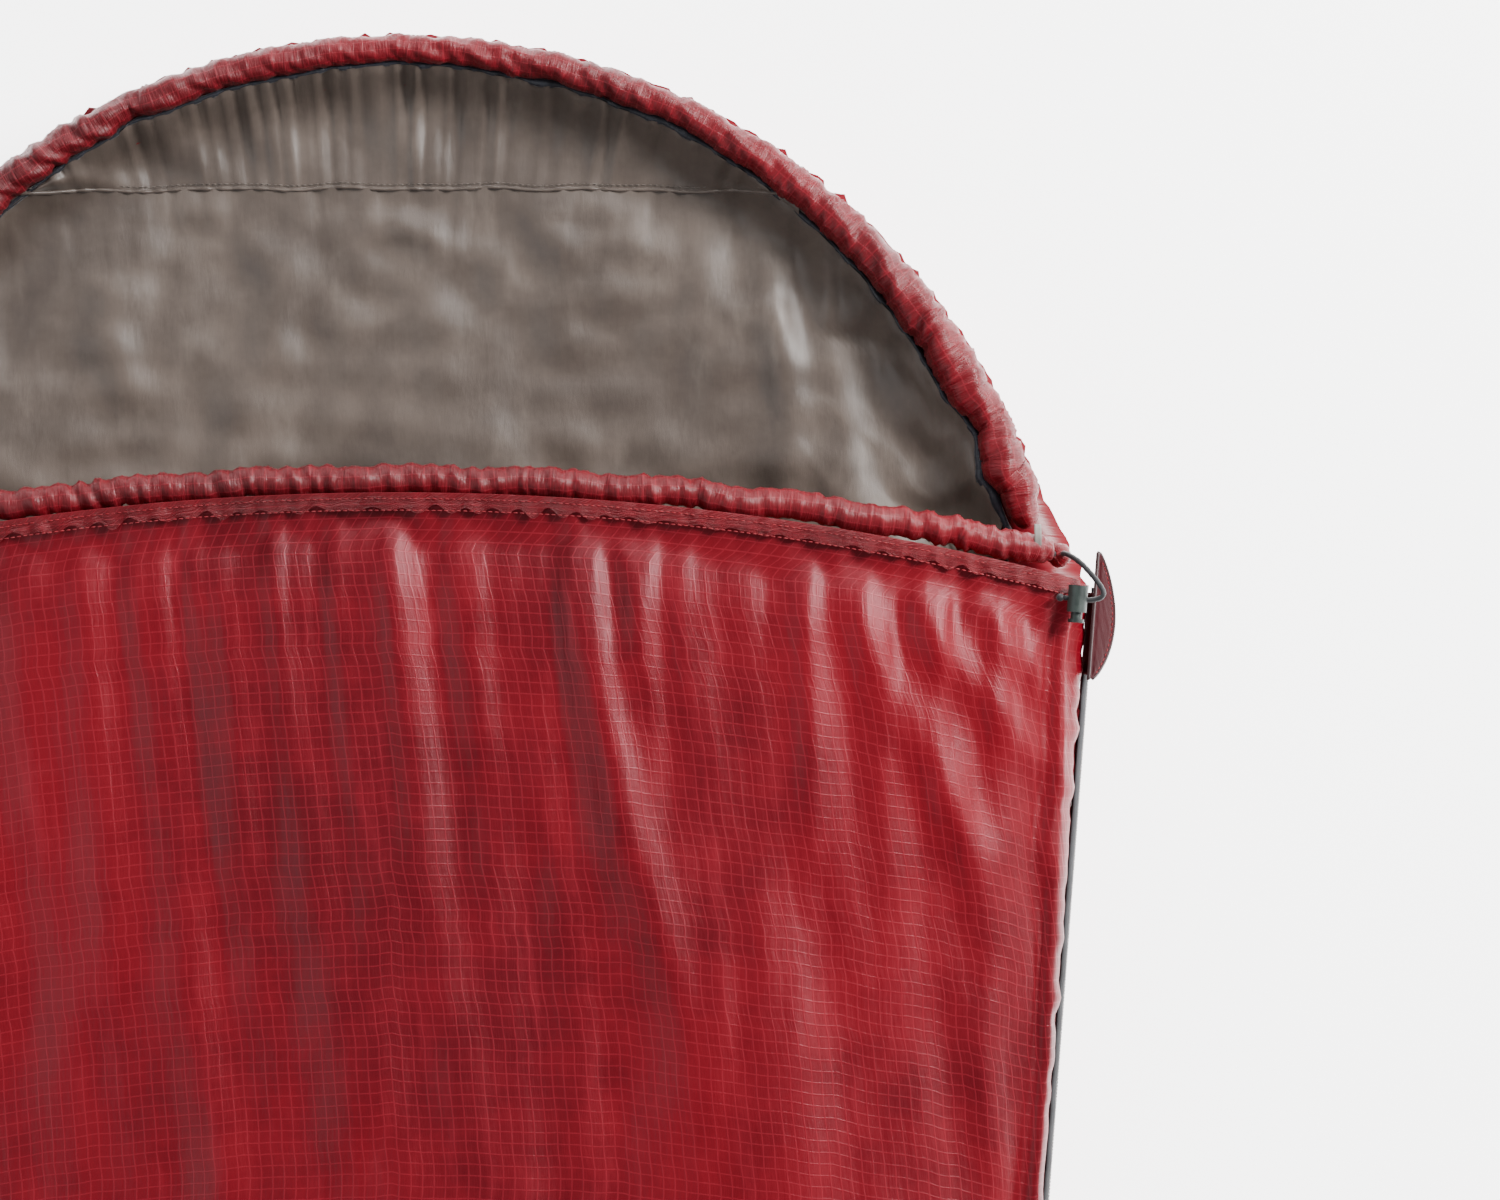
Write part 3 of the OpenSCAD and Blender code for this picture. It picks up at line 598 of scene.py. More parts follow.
lock_mat = plain("lock_plastic_moulded", lin(34, 42, 40), lin(52, 62, 58), lin(96, 106, 100), 0.42)
enamel = plain("zip_enamel", lin(30, 33, 34), lin(48, 52, 53), lin(150, 152, 150), 0.3, metallic=0.55,
               Coat_Weight=0.2)
coil_mat = plain("coil_nylon", lin(28, 29, 32), lin(46, 47, 51), lin(92, 93, 98), 0.38)
steel = plain("spring_wire", lin(120, 122, 124), lin(168, 170, 172), lin(220, 221, 222), 0.25, metallic=1.0)
hooks = plain("hook_tape", lin(10, 10, 12), lin(22, 22, 25), lin(56, 56, 60), 0.75, scale=260, bump=0.0006)


def underside_material():
    m = Mat("coated_underside", 0.55, Sheen_Weight=0.1)
    obj = m.n("TexCoord", out=3)
    weave, _ = threads(m, obj, 0.0012)
    cloud = m.noise(obj, 9, 5, 0.6)
    colour = m.mix(m.ramp(cloud, 0.35, 0.65), lin(40, 42, 47), lin(58, 60, 66))
    scuff = m.ramp(m.noise(m.stretch(obj, 5, 30), 3, 6, 0.75), 0.62, 0.74)
    colour = m.mix(m.math("MULTIPLY", scuff, 0.4), colour, lin(104, 104, 106))
    r = m.math("ADD", m.math("MULTIPLY", cloud, 0.2), 0.45)
    return m.end(colour, r, m.bump(weave, 0.0003, 0.5))


under_mat = underside_material()

floor_mat = Mat("floor", 0.85, Emission_Color=(1, 1, 1, 1), Emission_Strength=FLOOR_GLOW)
tone = floor_mat.noise(floor_mat.n("TexCoord", out=3), 1.2, 2)
floor_mat = floor_mat.end(floor_mat.mix(tone, (0.93, 0.93, 0.93, 1), (0.95, 0.95, 0.95, 1)))
ground = build("floor", [(-6000, -6000, -0.6), (6000, -6000, -0.6), (6000, 6000, -0.6),
                         (-6000, 6000, -0.6)], [(0, 1, 2, 3)], [floor_mat])

# ---------------------------------------------------------------- front panel: one cloth over the fixed part and the flap
def even_columns(n, y=600.0, k=0):
    q = np.linspace(-Q_END, Q_END, 2401)
    p = np.stack([front_x(q, y, k), front_z(q, y, k, 0)], -1)
    run = np.concatenate([[0], np.cumsum(np.linalg.norm(np.diff(p, axis=0), axis=1))])
    return np.interp(np.linspace(0, run[-1], n), run, q)


def front_rows(n_fine, fine, n_more):
    total = EDGE - Y_FOOT + 30
    near = np.arange(n_fine) * fine
    far = near[-1] + (total - near[-1]) * np.linspace(0, 1, n_more + 1)[1:] ** 1.12
    return np.concatenate([near, far]) / total


def front_grid(k, cols, rows):
    q = even_columns(cols, k=k)
    edge = front_edge(q, k)
    y = edge[None] - rows[:, None] * (edge - Y_FOOT)[None]
    qq = np.broadcast_to(q, y.shape)
    p = front_at(qq, y, k, 0)
    return front_at(qq, y, k, lift_at(p[..., 0], p[..., 1])), qq


def normals(p):
    n = np.cross(np.gradient(p, axis=1), np.gradient(p, axis=0))
    n /= np.maximum(np.linalg.norm(n, axis=-1, keepdims=True), 1e-9)
    return n


ROWS = front_rows(88, 4.8, 96)
front, front_q = front_grid(0, FRONT_COLS, ROWS)
n_up = normals(front)
n_up *= np.sign(n_up[len(n_up) // 2, n_up.shape[1] // 2, 2])
X, Y = front[..., 0], front[..., 1]
down = ROWS[:, None] * (EDGE - Y_FOOT + 30)
inner = np.clip((1 - np.abs(front_q)) / 0.10, 0, 1)      # 0 at the side walls
start = np.clip(down / 26, 0, 1)

# gathers fanning out from the tunnel
fan = arc(front, 1)
fan_a = waves(fan + 0.10 * down * np.sign(X - 60) * np.abs(X - 60) / 300, 11, 15, 30, 11)
fan_b = waves(fan - 0.05 * down, 12, 30, 70, 9)
gather = 1.5 * fan_a * np.exp(-down / 90) + 2.4 * fan_b * np.exp(-down / 230)
# the large folds of the cloth
big = ridges(X, Y, [
    (3.5, 15, 4.2, [(95.2, 753.2), (107.52, 708.4), (134.4, 607.6), (162.4, 506.8), (170.24, 422.8)]),
    (-4.2, 5.5, 0, [(114.24, 767.2), (119.28, 747.6), (124.32, 708.4)]),
    (3.4, 8, 0, [(127.68, 767.2), (129.92, 736.4), (135.52, 680.4)]),
    (3.2, 11, -2.4, [(224, 764.4), (225.68, 708.4), (228.48, 641.2), (228.48, 568.4)]),
    (5.2, 15, 2.6, [(236.32, 767.2), (268.8, 708.4), (302.4, 641.2), (329.28, 585.2), (339.36, 534.8),
                    (341.6, 473.2)]),
    (3.2, 12, -2.2, [(267.68, 761.6), (296.8, 708.4), (336, 663.6), (369.6, 624.4)]),
    (2.6, 10, 0, [(313.6, 753.2), (341.6, 708.4), (367.36, 674.8)]),
    (2.2, 10, 1.6, [(179.2, 562.8), (183.68, 506.8), (176.4, 422.8)]),
    (1.8, 9, 0, [(197.12, 585.2), (202.72, 529.2), (199.36, 473.2)]),
    (-2.2, 9, 1.4, [(305.2, 607.6), (312.48, 562.8), (322, 501.2)]),
    (2.4, 10, 0, [(336, 518), (330.4, 462), (338.24, 400.4)]),
    (2.4, 14, 2.0, [(39.2, 764.4), (42.56, 708.4), (56, 624.4)]),
    (2.2, 18, -1.6, [(0, 764.4), (2.24, 686), (16.8, 562.8)]),
    (2.0, 12, 1.8, [(165.76, 764.4), (168, 708.4), (176.96, 630)]),
    (-1.8, 8, 0, [(201.6, 764.4), (203.84, 730.8), (202.72, 674.8)]),
])
# folds on the left half, which the picture doesn't show
for s, pts in enumerate([((-330, 745), (-300, 640), (-280, 520)), ((-250, 765), (-240, 660), (-215, 480)),
                         ((-170, 770), (-168, 640), (-150, 470)),
                         ((-90, 775), (-96, 650), (-84, 470)), ((-300, 430), (-262, 300), (-250, 150)),
                         ((-120, 380), (-100, 240), (-104, 60))]):
    big = big + fold(X, Y, pts, 3.2 - 0.2 * s, 13 + s, odd=(-1) ** s * 2.0)
soft = 2.6 * field(X, Y, 21, 90, 260, 16, spread=1.2, lean=0.15) + 1.1 * field(X, Y, 22, 34, 80, 20,
    spread=1.0, lean=-0.1)
height = (gather + big + soft - 1.0) * start * (0.25 + 0.75 * inner) * np.clip((Y - Y_FOOT) / 50, 0, 1)
side_pucker = 0.8 * waves(Y, 31, 16, 40, 9) * np.clip((np.abs(front_q) - 0.86) / 0.1, 0,
    1) * np.clip((Q_END - np.abs(front_q)) / 0.05, 0, 1)
height = height + side_pucker * start
room = np.interp(np.clip(down, 0, 200), [0, 60, 200], [0.5, 3.0, 4.0])
front_now = front + n_up * (np.clip(height, -9, 9) - room * 0.35 * inner)[..., None]

hold = np.zeros(X.shape, bool)
hold[0], hold[-1], hold[:, 0], hold[:, -1] = True, True, True, True
run_u, run_v = arc(front, 1), arc(front, 0)
mid = run_u[:, run_u.shape[1] // 2][:, None]
cut_wider = 1 + 0.035 + 0.10 * np.exp(-down / 110)
settled = buckle(front_now, (run_u - mid) * cut_wider, -run_v * 1.012, hold, np.where(inner < 0.9, 0.75,
    0.055), frames=20, pressure=3.0, cap=9.0, bend=0.35)
under_front, _ = front_grid(QUILT_IN, FRONT_COLS, ROWS)
front_quilt = slab_piece("front_quilt", settled, under_front, (shell, satin))
attach(front_quilt, None, ["front_shell", "front_fill", "flap_shell", "flap_fill"])

# its lining, seen when the flap is open
LROWS = front_rows(34, 12, 50)
lin_front, lq = front_grid(2.55, 84, LROWS)
ln = normals(lin_front)
ln *= np.sign(ln[40, 42, 2])
sag = 1.6 * field(lin_front[..., 0], lin_front[..., 1], 41, 50, 160, 18,
                  spread=1.4) + 1.2 * waves(arc(lin_front, 1), 42, 18, 46) * np.exp(-LROWS[:, None] * 10)
lin_front = lin_front - ln * (np.clip(sag + 1.0, -0.8, 4) * np.clip((1 - np.abs(lq)) / 0.08, 0, 1))[...,
    None]
front_lining = sheet_piece("front_lining_cloth", lin_front, satin)
attach(front_lining, None, ["front_lining", "flap_lining"])


def declare(p):
    """works out a laid or stretched sheet's modelled width and length in metres; the result is not kept"""
    w, l = float(arc(p, 1)[:, -1].max()) * MM, float(arc(p, 0)[-1].max()) * MM


# ---------------------------------------------------------------- back, foot box and hood: padded outer forms
def back_half(w, k, n=9, m=14):
    x = w - depth(IN_SIDE, k)
    z = UNDER + depth(IN_BACK, k)
    r = max(CORNER - depth(IN_SIDE, k), 6)
    wall = [(x, SEAM + (z + r - SEAM) * t) for t in np.linspace(0, 1, 6)[:-1]]
    bend = [(x - r * (1 - math.cos(a)), z + r * (1 - math.sin(a))) for a in np.linspace(0, math.pi / 2, n)]
    base = [((x - r) * (1 - t), z) for t in np.linspace(0, 1, m)[1:]]
    return np.array([(float(a), float(b)) for a, b in wall + bend + base])


def back_ring(w, k):
    half = back_half(w, k)
    other = half[-2::-1] * [-1, 1]
    return np.concatenate([half, other])


def back_grid(k, n):
    ys = np.linspace(Y_FOOT, Y_HOOD, n)
    rings = [(y, back_ring(half_w(y), k)) for y in ys]
    return np.stack([np.column_stack([r[:, 0], np.full(len(r), y), r[:, 1]]) for y, r in rings])


def puff(p, amp, seed, short=40, long=120, keep=None):
    """soft unevenness along the cloth's own normals, none at its sewn borders"""
    n = normals(p)
    c = p.reshape(-1, 3).mean(0)
    n *= np.sign(((p - c) * n).sum(-1).mean())
    u, v = arc(p, 1), arc(p, 0)
    f = field(u, v, seed, short, long, 20)
    e = np.minimum.reduce([u / 14, (u[:, -1:] - u) / 14, v / 14, (v[-1:] - v) / 14, np.ones_like(u)])
    if keep is not None:
        e = e * keep
    return p + n * (f * amp * np.clip(e, 0, 1))[..., None]


back_out = back_grid(0, 150)
back_in = back_grid(QUILT_IN, 150)
wall_only = np.clip((back_out[..., 2] - 3) / 12, 0, 1)
pucker = waves(back_out[..., 1], 51, 14, 34) * np.clip((back_out[..., 2] - 30) / 22, 0,
    1) * np.clip((55.2 - back_out[..., 2]) / 4, 0, 1)
back_out = puff(back_out, 2.0, 52, keep=wall_only)
back_out[..., 0] += np.sign(back_out[..., 0]) * (1.3 * pucker - 0.3) * wall_only
back_quilt = slab_piece("back_quilt", back_out, back_in, (shell, satin))
attach(back_quilt, "bag", ["back_shell", "back_fill"])

bl = back_grid(LINING_IN, 130)
bl = puff(bl, 1.5, 53, 40, 140)
bl[..., 2] += 1.2
back_lining = sheet_piece("back_lining_cloth", bl, satin)
attach(back_lining, "bag", ["back_lining"])


def foot_ring(k, u):
    q = even_columns(60, y=Y_FOOT, k=k)[::-1]
    top = front_at(q, np.full_like(q, Y_FOOT), k, 0)[:, [0, 2]]
    under = back_ring(half_w(Y_FOOT), k)[::-1]
    ring = np.concatenate([top, under[1:-1]])
    c = max(math.cos(u), 0) ** FOOT_ROUND
    return np.column_stack([ring[:, 0] * c, np.full(len(ring), Y_FOOT - (FOOT_LEN - depth(IN_SIDE, k))
        * math.sin(u)), SEAM + (ring[:, 1] - SEAM) * c])


turns = np.radians(np.concatenate([np.linspace(0, 80, 30), [83.5, 86.5, 88.6, 89.7]]))
foot_out = np.stack([foot_ring(0, u) for u in turns])
foot_in = np.stack([foot_ring(QUILT_IN, u) for u in turns])
foot_lin = np.stack([foot_ring(LINING_IN, u) for u in turns])


def round_puff(p, amp, seed, short, long):
    closed = np.concatenate([p, p[:, :1]], 1)
    u, v = arc(closed, 1)[:, :-1], arc(closed, 0)[:, :-1]
    a = 2 * math.pi * u / np.maximum(arc(closed, 1)[:, -1:], 1e-6)
    r = np.random.default_rng(seed)
    f = sum(np.sin(k * a + r.uniform(0, 6.28) + v / r.uniform(short, long)) for k in (3, 5, 8, 13,
        21)) / 2.2
    c = np.array([0, Y_FOOT, SEAM + 5])
    d = p - c
    d /= np.maximum(np.linalg.norm(d, axis=-1, keepdims=True), 1e-6)
    keep = np.clip(v / 16, 0, 1) * np.clip((p[..., 2] - 4) / 14, 0, 1)
    return p + d * (f * amp * keep)[..., None]


foot_quilt = slab_piece("foot_quilt", round_puff(foot_out, 1.8, 61, 14, 40), foot_in, (shell, satin),
                        wrap=True)
attach(foot_quilt, "bag", ["foot_shell", "foot_fill"])
foot_lining = build("foot_lining_cloth", foot_lin.reshape(-1, 3), grid_faces(*foot_lin.shape[:2],
    wrap=True), [satin], cloth_uv(foot_lin))
attach(foot_lining, "bag", ["foot_lining"])

angles = np.radians(np.linspace(0, 180, 260))


def hood_grid(k):
    half = back_half(R_HOOD, k)[:-1]
    return np.stack([np.column_stack([half[:, 0] * math.cos(a), Y_HOOD + half[:, 0] * math.sin(a),
        half[:, 1]]) for a in angles])


hood_out = hood_grid(0)
gath = waves(np.degrees(angles)[:, None] * 6.6 + 0.12 * hood_out[..., 2], 71, 12, 30, 11)
high = np.clip((hood_out[..., 2] - 12) / 26, 0, 1) * np.clip((angles[:, None]) / 0.05, 0,
    1) * np.clip((math.pi - angles[:, None]) / 0.05, 0, 1)
radial = np.stack([np.cos(angles)[:, None] + 0 * gath, np.sin(angles)[:, None] + 0 * gath, 0 * gath], -1)
lean = np.minimum(angles, math.pi - angles)
meet = (R_HOOD * (1 / np.cos(np.minimum(lean, 0.183)) - 1) + TAPER * R_HOOD
        * np.sin(np.minimum(lean, 0.183))) * np.clip((0.33 - lean) / 0.147, 0, 1)
out_by = (1.5 * gath - 1.2) * high + meet[:, None] * np.clip((hood_out[..., 2] - 10) / 30, 0, 1)
hood_out = hood_out + radial * out_by[..., None]
hood_quilt = slab_piece("hood_quilt", hood_out, hood_grid(QUILT_IN), (shell_gather, satin))
attach(hood_quilt, "bag", ["hood_shell", "hood_fill"])

# ---------------------------------------------------------------- the hood's rim: gathered tunnel, cord, piping
def rim_half(deg):
    """half the width of the gathered tunnel, as seen from above"""
    d = np.where(deg > 90, 180 - deg, deg)
    return np.interp(d, [15, 22, 26, 30, 45, 62, 66, 70, 76, 78, 90], [10.5, 13.0, 10.2, 13.2, 11.2, 9.0,
        8.0, 9.0, 8.2, 8.8, 7.6])


def rim_line(deg, inset, z):
    """a line that runs round the hood that far inside its outline"""
    a = np.radians(deg)
    r = R_HOOD - 0.8 - inset
    return np.column_stack([r * np.cos(a), Y_HOOD + r * np.sin(a), z + 0 * a])


RIM_FROM, RIM_TO, RIM_R = 16.4, 163.6, 367  # the rim's ends in degrees, and its middle radius
deg = np.linspace(RIM_FROM, RIM_TO, 420)
s_rim = np.radians(deg) * RIM_R
end_fade = np.clip((deg - RIM_FROM) / 3.5, 0, 1) * np.clip((RIM_TO - deg) / 3.5, 0, 1)
half = rim_half(deg)
wander = 1.1 * waves(s_rim, 81, 24, 70, 9) + 2.0 * waves(s_rim, 82, 14, 26,
    7) * np.exp(-((np.minimum(deg, 180 - deg) - 20) / 9) ** 2)
centre = rim_line(deg, half + 0.9 - 0.55 * wander, 66 + 0.35 * half + 0.9 * waves(s_rim, 83, 30, 80))
around = np.linspace(0, 2 * math.pi, 30, endpoint=False)
sv, av = s_rim[:, None], around[None]
skew = sv + 7.5 * np.sin(av + 0.7) + 5 * np.cos(2 * av)
creases = 0.085 * waves(skew, 84, 8, 17, 12) + 0.055 * waves(sv - 9 * np.sin(av), 85, 4.5, 9,
    12) + 0.05 * waves(sv + 30 * np.cos(av), 86, 30, 60)
rad = half[:, None] * (1.0 + creases - 0.05) * (0.45 + 0.55 * end_fade[:, None] ** 0.6)
rim = tube("rim_tunnel", centre, rad, [shell_gather], n=30, squash=1.0)
attach(rim, "bag", ["hood_rim_tunnel"])
rim_cord = tube("rim_drawcord", centre[4:-4], CORD_R, [cordage], n=10)
attach(rim_cord, "bag", ["hood_drawcord"])

pipe_r = 1.5 + 0.35 * waves(s_rim, 87, 12,
                            40) + 1.1 * np.exp(-((deg - 65.5) / 3.2) ** 2) + 1.2 * np.exp(-((deg
                                - 77) / 1.0) ** 2) + 1.6 * np.exp(-((deg - 21) / 3.4) ** 2)
pipe_r = np.clip(pipe_r, 1.1, 3.6)
pipe_in = 2 * half + 0.9 + pipe_r * 0.55 - 0.55 * wander * 0.6
piping = tube("edge_binding", rim_line(deg, pipe_in, 66.5 + 0 * deg), pipe_r[:, None]
              * (1 + 0.10 * waves(sv + 4 * np.sin(av[:, ::2]), 88, 3, 8, 12)), [trim], n=15)
attach(piping, "bag", ["hood_piping"])


# ---------------------------------------------------------------- hood lining and its crown panel
def rim_inside(a):
    """radius at which the lining meets the binding"""
    return R_HOOD - 0.8 - np.interp(np.degrees(a), deg, pipe_in + pipe_r * 0.6, left=34, right=34)


def bowl_z(x, y):
    a = np.arctan2(y - Y_HOOD, x)
    gap = np.maximum(rim_inside(np.clip(a, 0, math.pi)) - np.hypot(x, y - Y_HOOD), 0)
    z = 36 + 29.5 * np.exp(-((gap / 17) ** 1.3))
    return z + 8 * np.exp(-((gap - 60) / 55) ** 2)


SEAM_Y = 963.0
cross = math.degrees(math.asin((SEAM_Y - 4 - Y_HOOD) / 372.0))


def seam_point(t):
    """t from -1 to 1 along the crown seam"""
    a = math.radians(cross)
    r = rim_inside(np.array([a]))[0]
    return np.column_stack([r * math.cos(a) * t, SEAM_Y - 4 * np.abs(t) ** 3 + 1.3 * waves(230 * t, 91, 30,
        90)])


def fan_grid(low, high_line, n):
    t = np.linspace(0, 1, n)[:, None, None]
    return low[None] * (1 - t) + high_line[None] * t


# crown panel
t = np.linspace(-1, 1, 150)
a_rim = np.radians(90 - (90 - cross) * t)
crown_top = np.column_stack([rim_inside(a_rim) * np.cos(a_rim), Y_HOOD + rim_inside(a_rim) * np.sin(a_rim)])
crown = fan_grid(seam_point(t), crown_top, 26)
cz = bowl_z(crown[..., 0], crown[..., 1])
up_t = np.linspace(0, 1, 26)[:, None]
spray = waves(t[None] * 240 + 0 * up_t, 92, 9, 20, 12)
cz = cz + spray * (2.6 * up_t ** 1.2 + 0.9 * (1 - up_t) ** 3) * np.clip((1 - np.abs(t)) / 0.06, 0,
    1) + 2.2 * waves(t[None] * 240 + 30 * up_t, 93, 40, 110) * np.sin(math.pi * up_t)
crown = np.concatenate([crown, cz[..., None]], -1)

# main lining: from under the front panel up to the rim and the crown seam
side_a = np.radians(np.linspace(1.5, cross, 46)[:-1])
right = np.column_stack([rim_inside(side_a) * np.cos(side_a), Y_HOOD + rim_inside(side_a) * np.sin(side_a)])
seam_line = seam_point(np.linspace(1, -1, 100))
left = right[::-1] * [-1, 1]
upper = np.concatenate([right, seam_line, left])
run = np.concatenate([[0], np.cumsum(np.linalg.norm(np.diff(upper, axis=0), axis=1))])
even = np.linspace(0, run[-1], 200)
upper = np.column_stack([np.interp(even, run, upper[:, 0]), np.interp(even, run, upper[:, 1])])
lowx = 345 * np.cos(np.pi * even / even[-1]) * 0.25 + 0.75 * 345 * (1 - 2 * even / even[-1])
lower_line = np.column_stack([lowx, np.full_like(lowx, Y_HOOD)])
main = fan_grid(lower_line, upper, 84)
mx, my = main[..., 0], main[..., 1]
mt = np.linspace(0, 1, 84)[:, None]
mz = bowl_z(mx, my)
folds = ridges(mx, my, [
    (4.5, 12, 3.5, [(-21.28, 948.08), (0, 942.48), (33.6, 930.16), (67.2, 925.68)]),
    (5.0, 13, 4.5, [(208.32, 954.8), (210.56, 921.2), (218.4, 876.4), (224, 831.6)]),
    (3.6, 12, -3.0, [(234.08, 952), (232.4, 910), (243.6, 842.8)]),
    (3.0, 13, 2.4, [(168, 957.6), (172.48, 921.2), (168, 876.4)]),
    (2.6, 14, -2.2, [(134.4, 957.6), (129.92, 926.8), (112, 882)]),
    (2.6, 20, 2.0, [(16.8, 957.6), (22.4, 898.8), (39.2, 831.6)]),
    (2.6, 18, -2.4, [(78.4, 954.8), (89.6, 904.4), (89.6, 854)]),
    (4.6, 12, 3.4, [(280, 854), (308, 820.4), (336, 792.4), (362.88, 767.76)]),
    (3.2, 12, 2.4, [(258.72, 924), (288.4, 882), (308, 842.8)]),
    (-2.6, 4.0, 0, [(235.2, 882), (257.6, 877.52), (282.8, 873.6)]),
    (3.4, 20, 2.6, [(112, 798), (168, 820.4), (235.2, 814.8), (280, 798)]),
    (3.0, 22, -2.0, [(11.2, 803.6), (67.2, 814.8), (112, 826)]),
])
for s, pts in enumerate([((-60, 940), (-70, 880), (-90, 820)), ((-160, 945), (-170, 880), (-150, 810)),
                         ((-240, 900), (-230, 850), (-260, 800)), ((-300, 840), (-270, 800), (-290, 770))]):
    folds = folds + fold(mx, my, pts, 3.6, 14, odd=(-1) ** s * 2.6)
tack = (284.48, 873.6)  # the stitch that pins the lining down
folds = folds - 3.2 * np.exp(-(((mx - tack[0]) / 6) ** 2 + ((my - tack[1]) / 6) ** 2))
seam_pull = waves(mx, 94, 9, 22, 12) * 1.5 * np.clip((mt - 0.80) / 0.2, 0, 1)
mz = mz + (folds + 2.6 * field(mx, my, 95, 80, 220, 14, spread=2.4) + 1.0 * field(mx, my, 96, 26, 60,
    16)) * np.clip((1 - mt) / 0.05, 0, 1) * np.clip(mt / 0.04, 0, 1) + seam_pull
lining_now = np.concatenate([main, mz[..., None]], -1)
keep = np.zeros(mx.shape, bool)
keep[0], keep[-1], keep[:, 0], keep[:, -1] = True, True, True, True
# cut evenly: a flat sheet a little larger than its room
lining_set = buckle(lining_now, (main[..., 0]) * -1.055, (main[..., 1] - Y_HOOD) * 1.04, keep, 0.05
                    + 0 * mx, frames=18, pressure=-1.5, cap=7.0, bend=0.5)
lining_set[..., 2] = np.maximum(lining_set[..., 2], 33.5)
hood_lining = sheet_piece("hood_lining_cloth", lining_set, satin, uv=(main - [0, Y_HOOD]).reshape(-1, 2))
crown_lining = sheet_piece("crown_lining_cloth", crown, satin, uv=crown[..., :2].reshape(-1, 2))
for o, node in ((hood_lining, "hood_lining"), (crown_lining, "hood_crown_lining")):
    attach(o, "bag", [node])
for o in (hood_lining, crown_lining, front_lining, back_lining):
    me = o.data
    up = np.zeros(len(me.polygons) * 3, np.float32)
    me.polygons.foreach_get("normal", up)
    if up.reshape(-1, 3)[:, 2].mean() < 0:
        me.flip_normals()

# crown seam: a rolled edge with its row of stitches
sp = seam_point(np.linspace(-1, 1, 220))
seam_xyz = np.column_stack([sp, np.interp(sp[:, 0], crown[0, :, 0], crown[0, :, 2]) + 0.2])
crown_seam = tube("crown_seam", seam_xyz, (1.1 + 0.25 * waves(sp[:, 0], 97, 6, 14)), [satin], n=10)
attach(crown_seam, "bag")
crown_thread = stitches("crown_stitches", seam_xyz + [0, 2.6, 0.9], thread_grey, up=(0, 0, 1))
attach(crown_thread, "bag")

declare(lining_set)
declare(crown)
declare(lin_front)
declare(bl)
declare(np.concatenate([foot_lin, foot_lin[:, :1]], 1))

# ---------------------------------------------------------------- gathered tunnel along the front edge
q_t = np.linspace(-0.945, 0.872, 1200)
line = tunnel_at(q_t, 0) + np.stack([0 * q_t, 0 * q_t, np.interp(q_t, [-0.5, -0.2], [0, 2])], -1)
line = resample(line, 2.05, smooth=False)
s_t = arc(line[:, None], 0)[:, 0]
whole = s_t[-1]
line = line + np.column_stack([0 * s_t, 0.9 * waves(s_t, 101, 26, 80), 1.0 * waves(s_t, 102, 30, 90)])
ends_t = np.clip(s_t / 10, 0, 1) * np.clip((whole - s_t) / 10, 0, 1)
an = np.linspace(0, 2 * math.pi, 26, endpoint=False)[None]
st = s_t[:, None]
tight = 1 + 0.9 * np.clip((st - whole + 150) / 150, 0, 1)      # closer gathers towards the cord lock
crease = 0.10 * waves(st + 4.0 * np.sin(an), 103, 9, 20, 12) + 0.06 * tight * waves(st - 5 * np.cos(an),
    104, 4.5, 9, 12) + 0.03 * waves(st + 20 * an, 105, 30, 70)
rad_t = 8.3 * (1 + crease) * (0.55 + 0.45 * ends_t[:, None] ** 0.5)
chest = tube("chest_tunnel_cloth", line, rad_t, [shell_gather], n=26)
attach(chest, None, ["chest_tunnel", "chest_hem"])

# stitch rows that hold the tunnel, and the frill of its seam allowance
edge_q = np.linspace(-0.93, 0.88, 900)
ey = front_edge(edge_q, 0)
for k, back in enumerate((2.0, 8.5)):
    p = front_at(edge_q, ey - back, 0, 0)
    p[:, 2] += lift_at(p[:, 0], p[:, 1]) + 0.7
    row = stitches(f"edge_stitches_{k + 1}", p, thread_red)
    attach(row, None)
frill_t = np.linspace(0, 1, 5)[:, None]
edge_at = front_at(edge_q, ey, 0, 0)
fs = arc(edge_at[:, None], 0)[:, 0]
wave_y = 2.2 * waves(fs, 106, 14, 34, 9)
frill = np.stack([np.broadcast_to(edge_at[:, 0], (5, 900)), edge_at[:, 1][None] + 1.5
                  - frill_t * (9.5 + wave_y[None]),
                  edge_at[:, 2][None] + lift_at(edge_at[:, 0], edge_at[:, 1]) + 1.6 + 0.9 * frill_t
                  * waves(fs, 107, 9, 22, 9)[None] - 0.4 * frill_t], -1)
frill_obj = sheet_piece("edge_frill", frill, shell_gather)
attach(frill_obj, None)

# ---------------------------------------------------------------- end of the tunnel: knot, cord, strip
end = tunnel_at(np.array([0.97]), 2)[0]
lock_at = np.array([-7.0, -4, 44])
lock_side = on_zip(lock_at + [14, 5, 1])
lock_far, lock_near = on_zip(lock_at + [8.5, 0, 0]), on_zip(lock_at - [7.5, 0, 0])
flap_q = np.concatenate([np.linspace(-0.22, 0.86, 60), [0.885, 0.91, 0.935]])
cord_pts = np.concatenate([tunnel_at(flap_q, 2), [end, end + [4, 0.5, 11], end + [13, -6, 20], lock_side,
    lock_far, lock_near]])
cord_path = resample(cord_pts, 1.4)
chest_cord = tube("chest_drawcord_braid", cord_path, CORD_R + 0.10 * np.sin(np.arange(len(cord_path))
    * 2.1)[:, None], [cordage], n=10)
attach(chest_cord, None, ["chest_drawcord"])


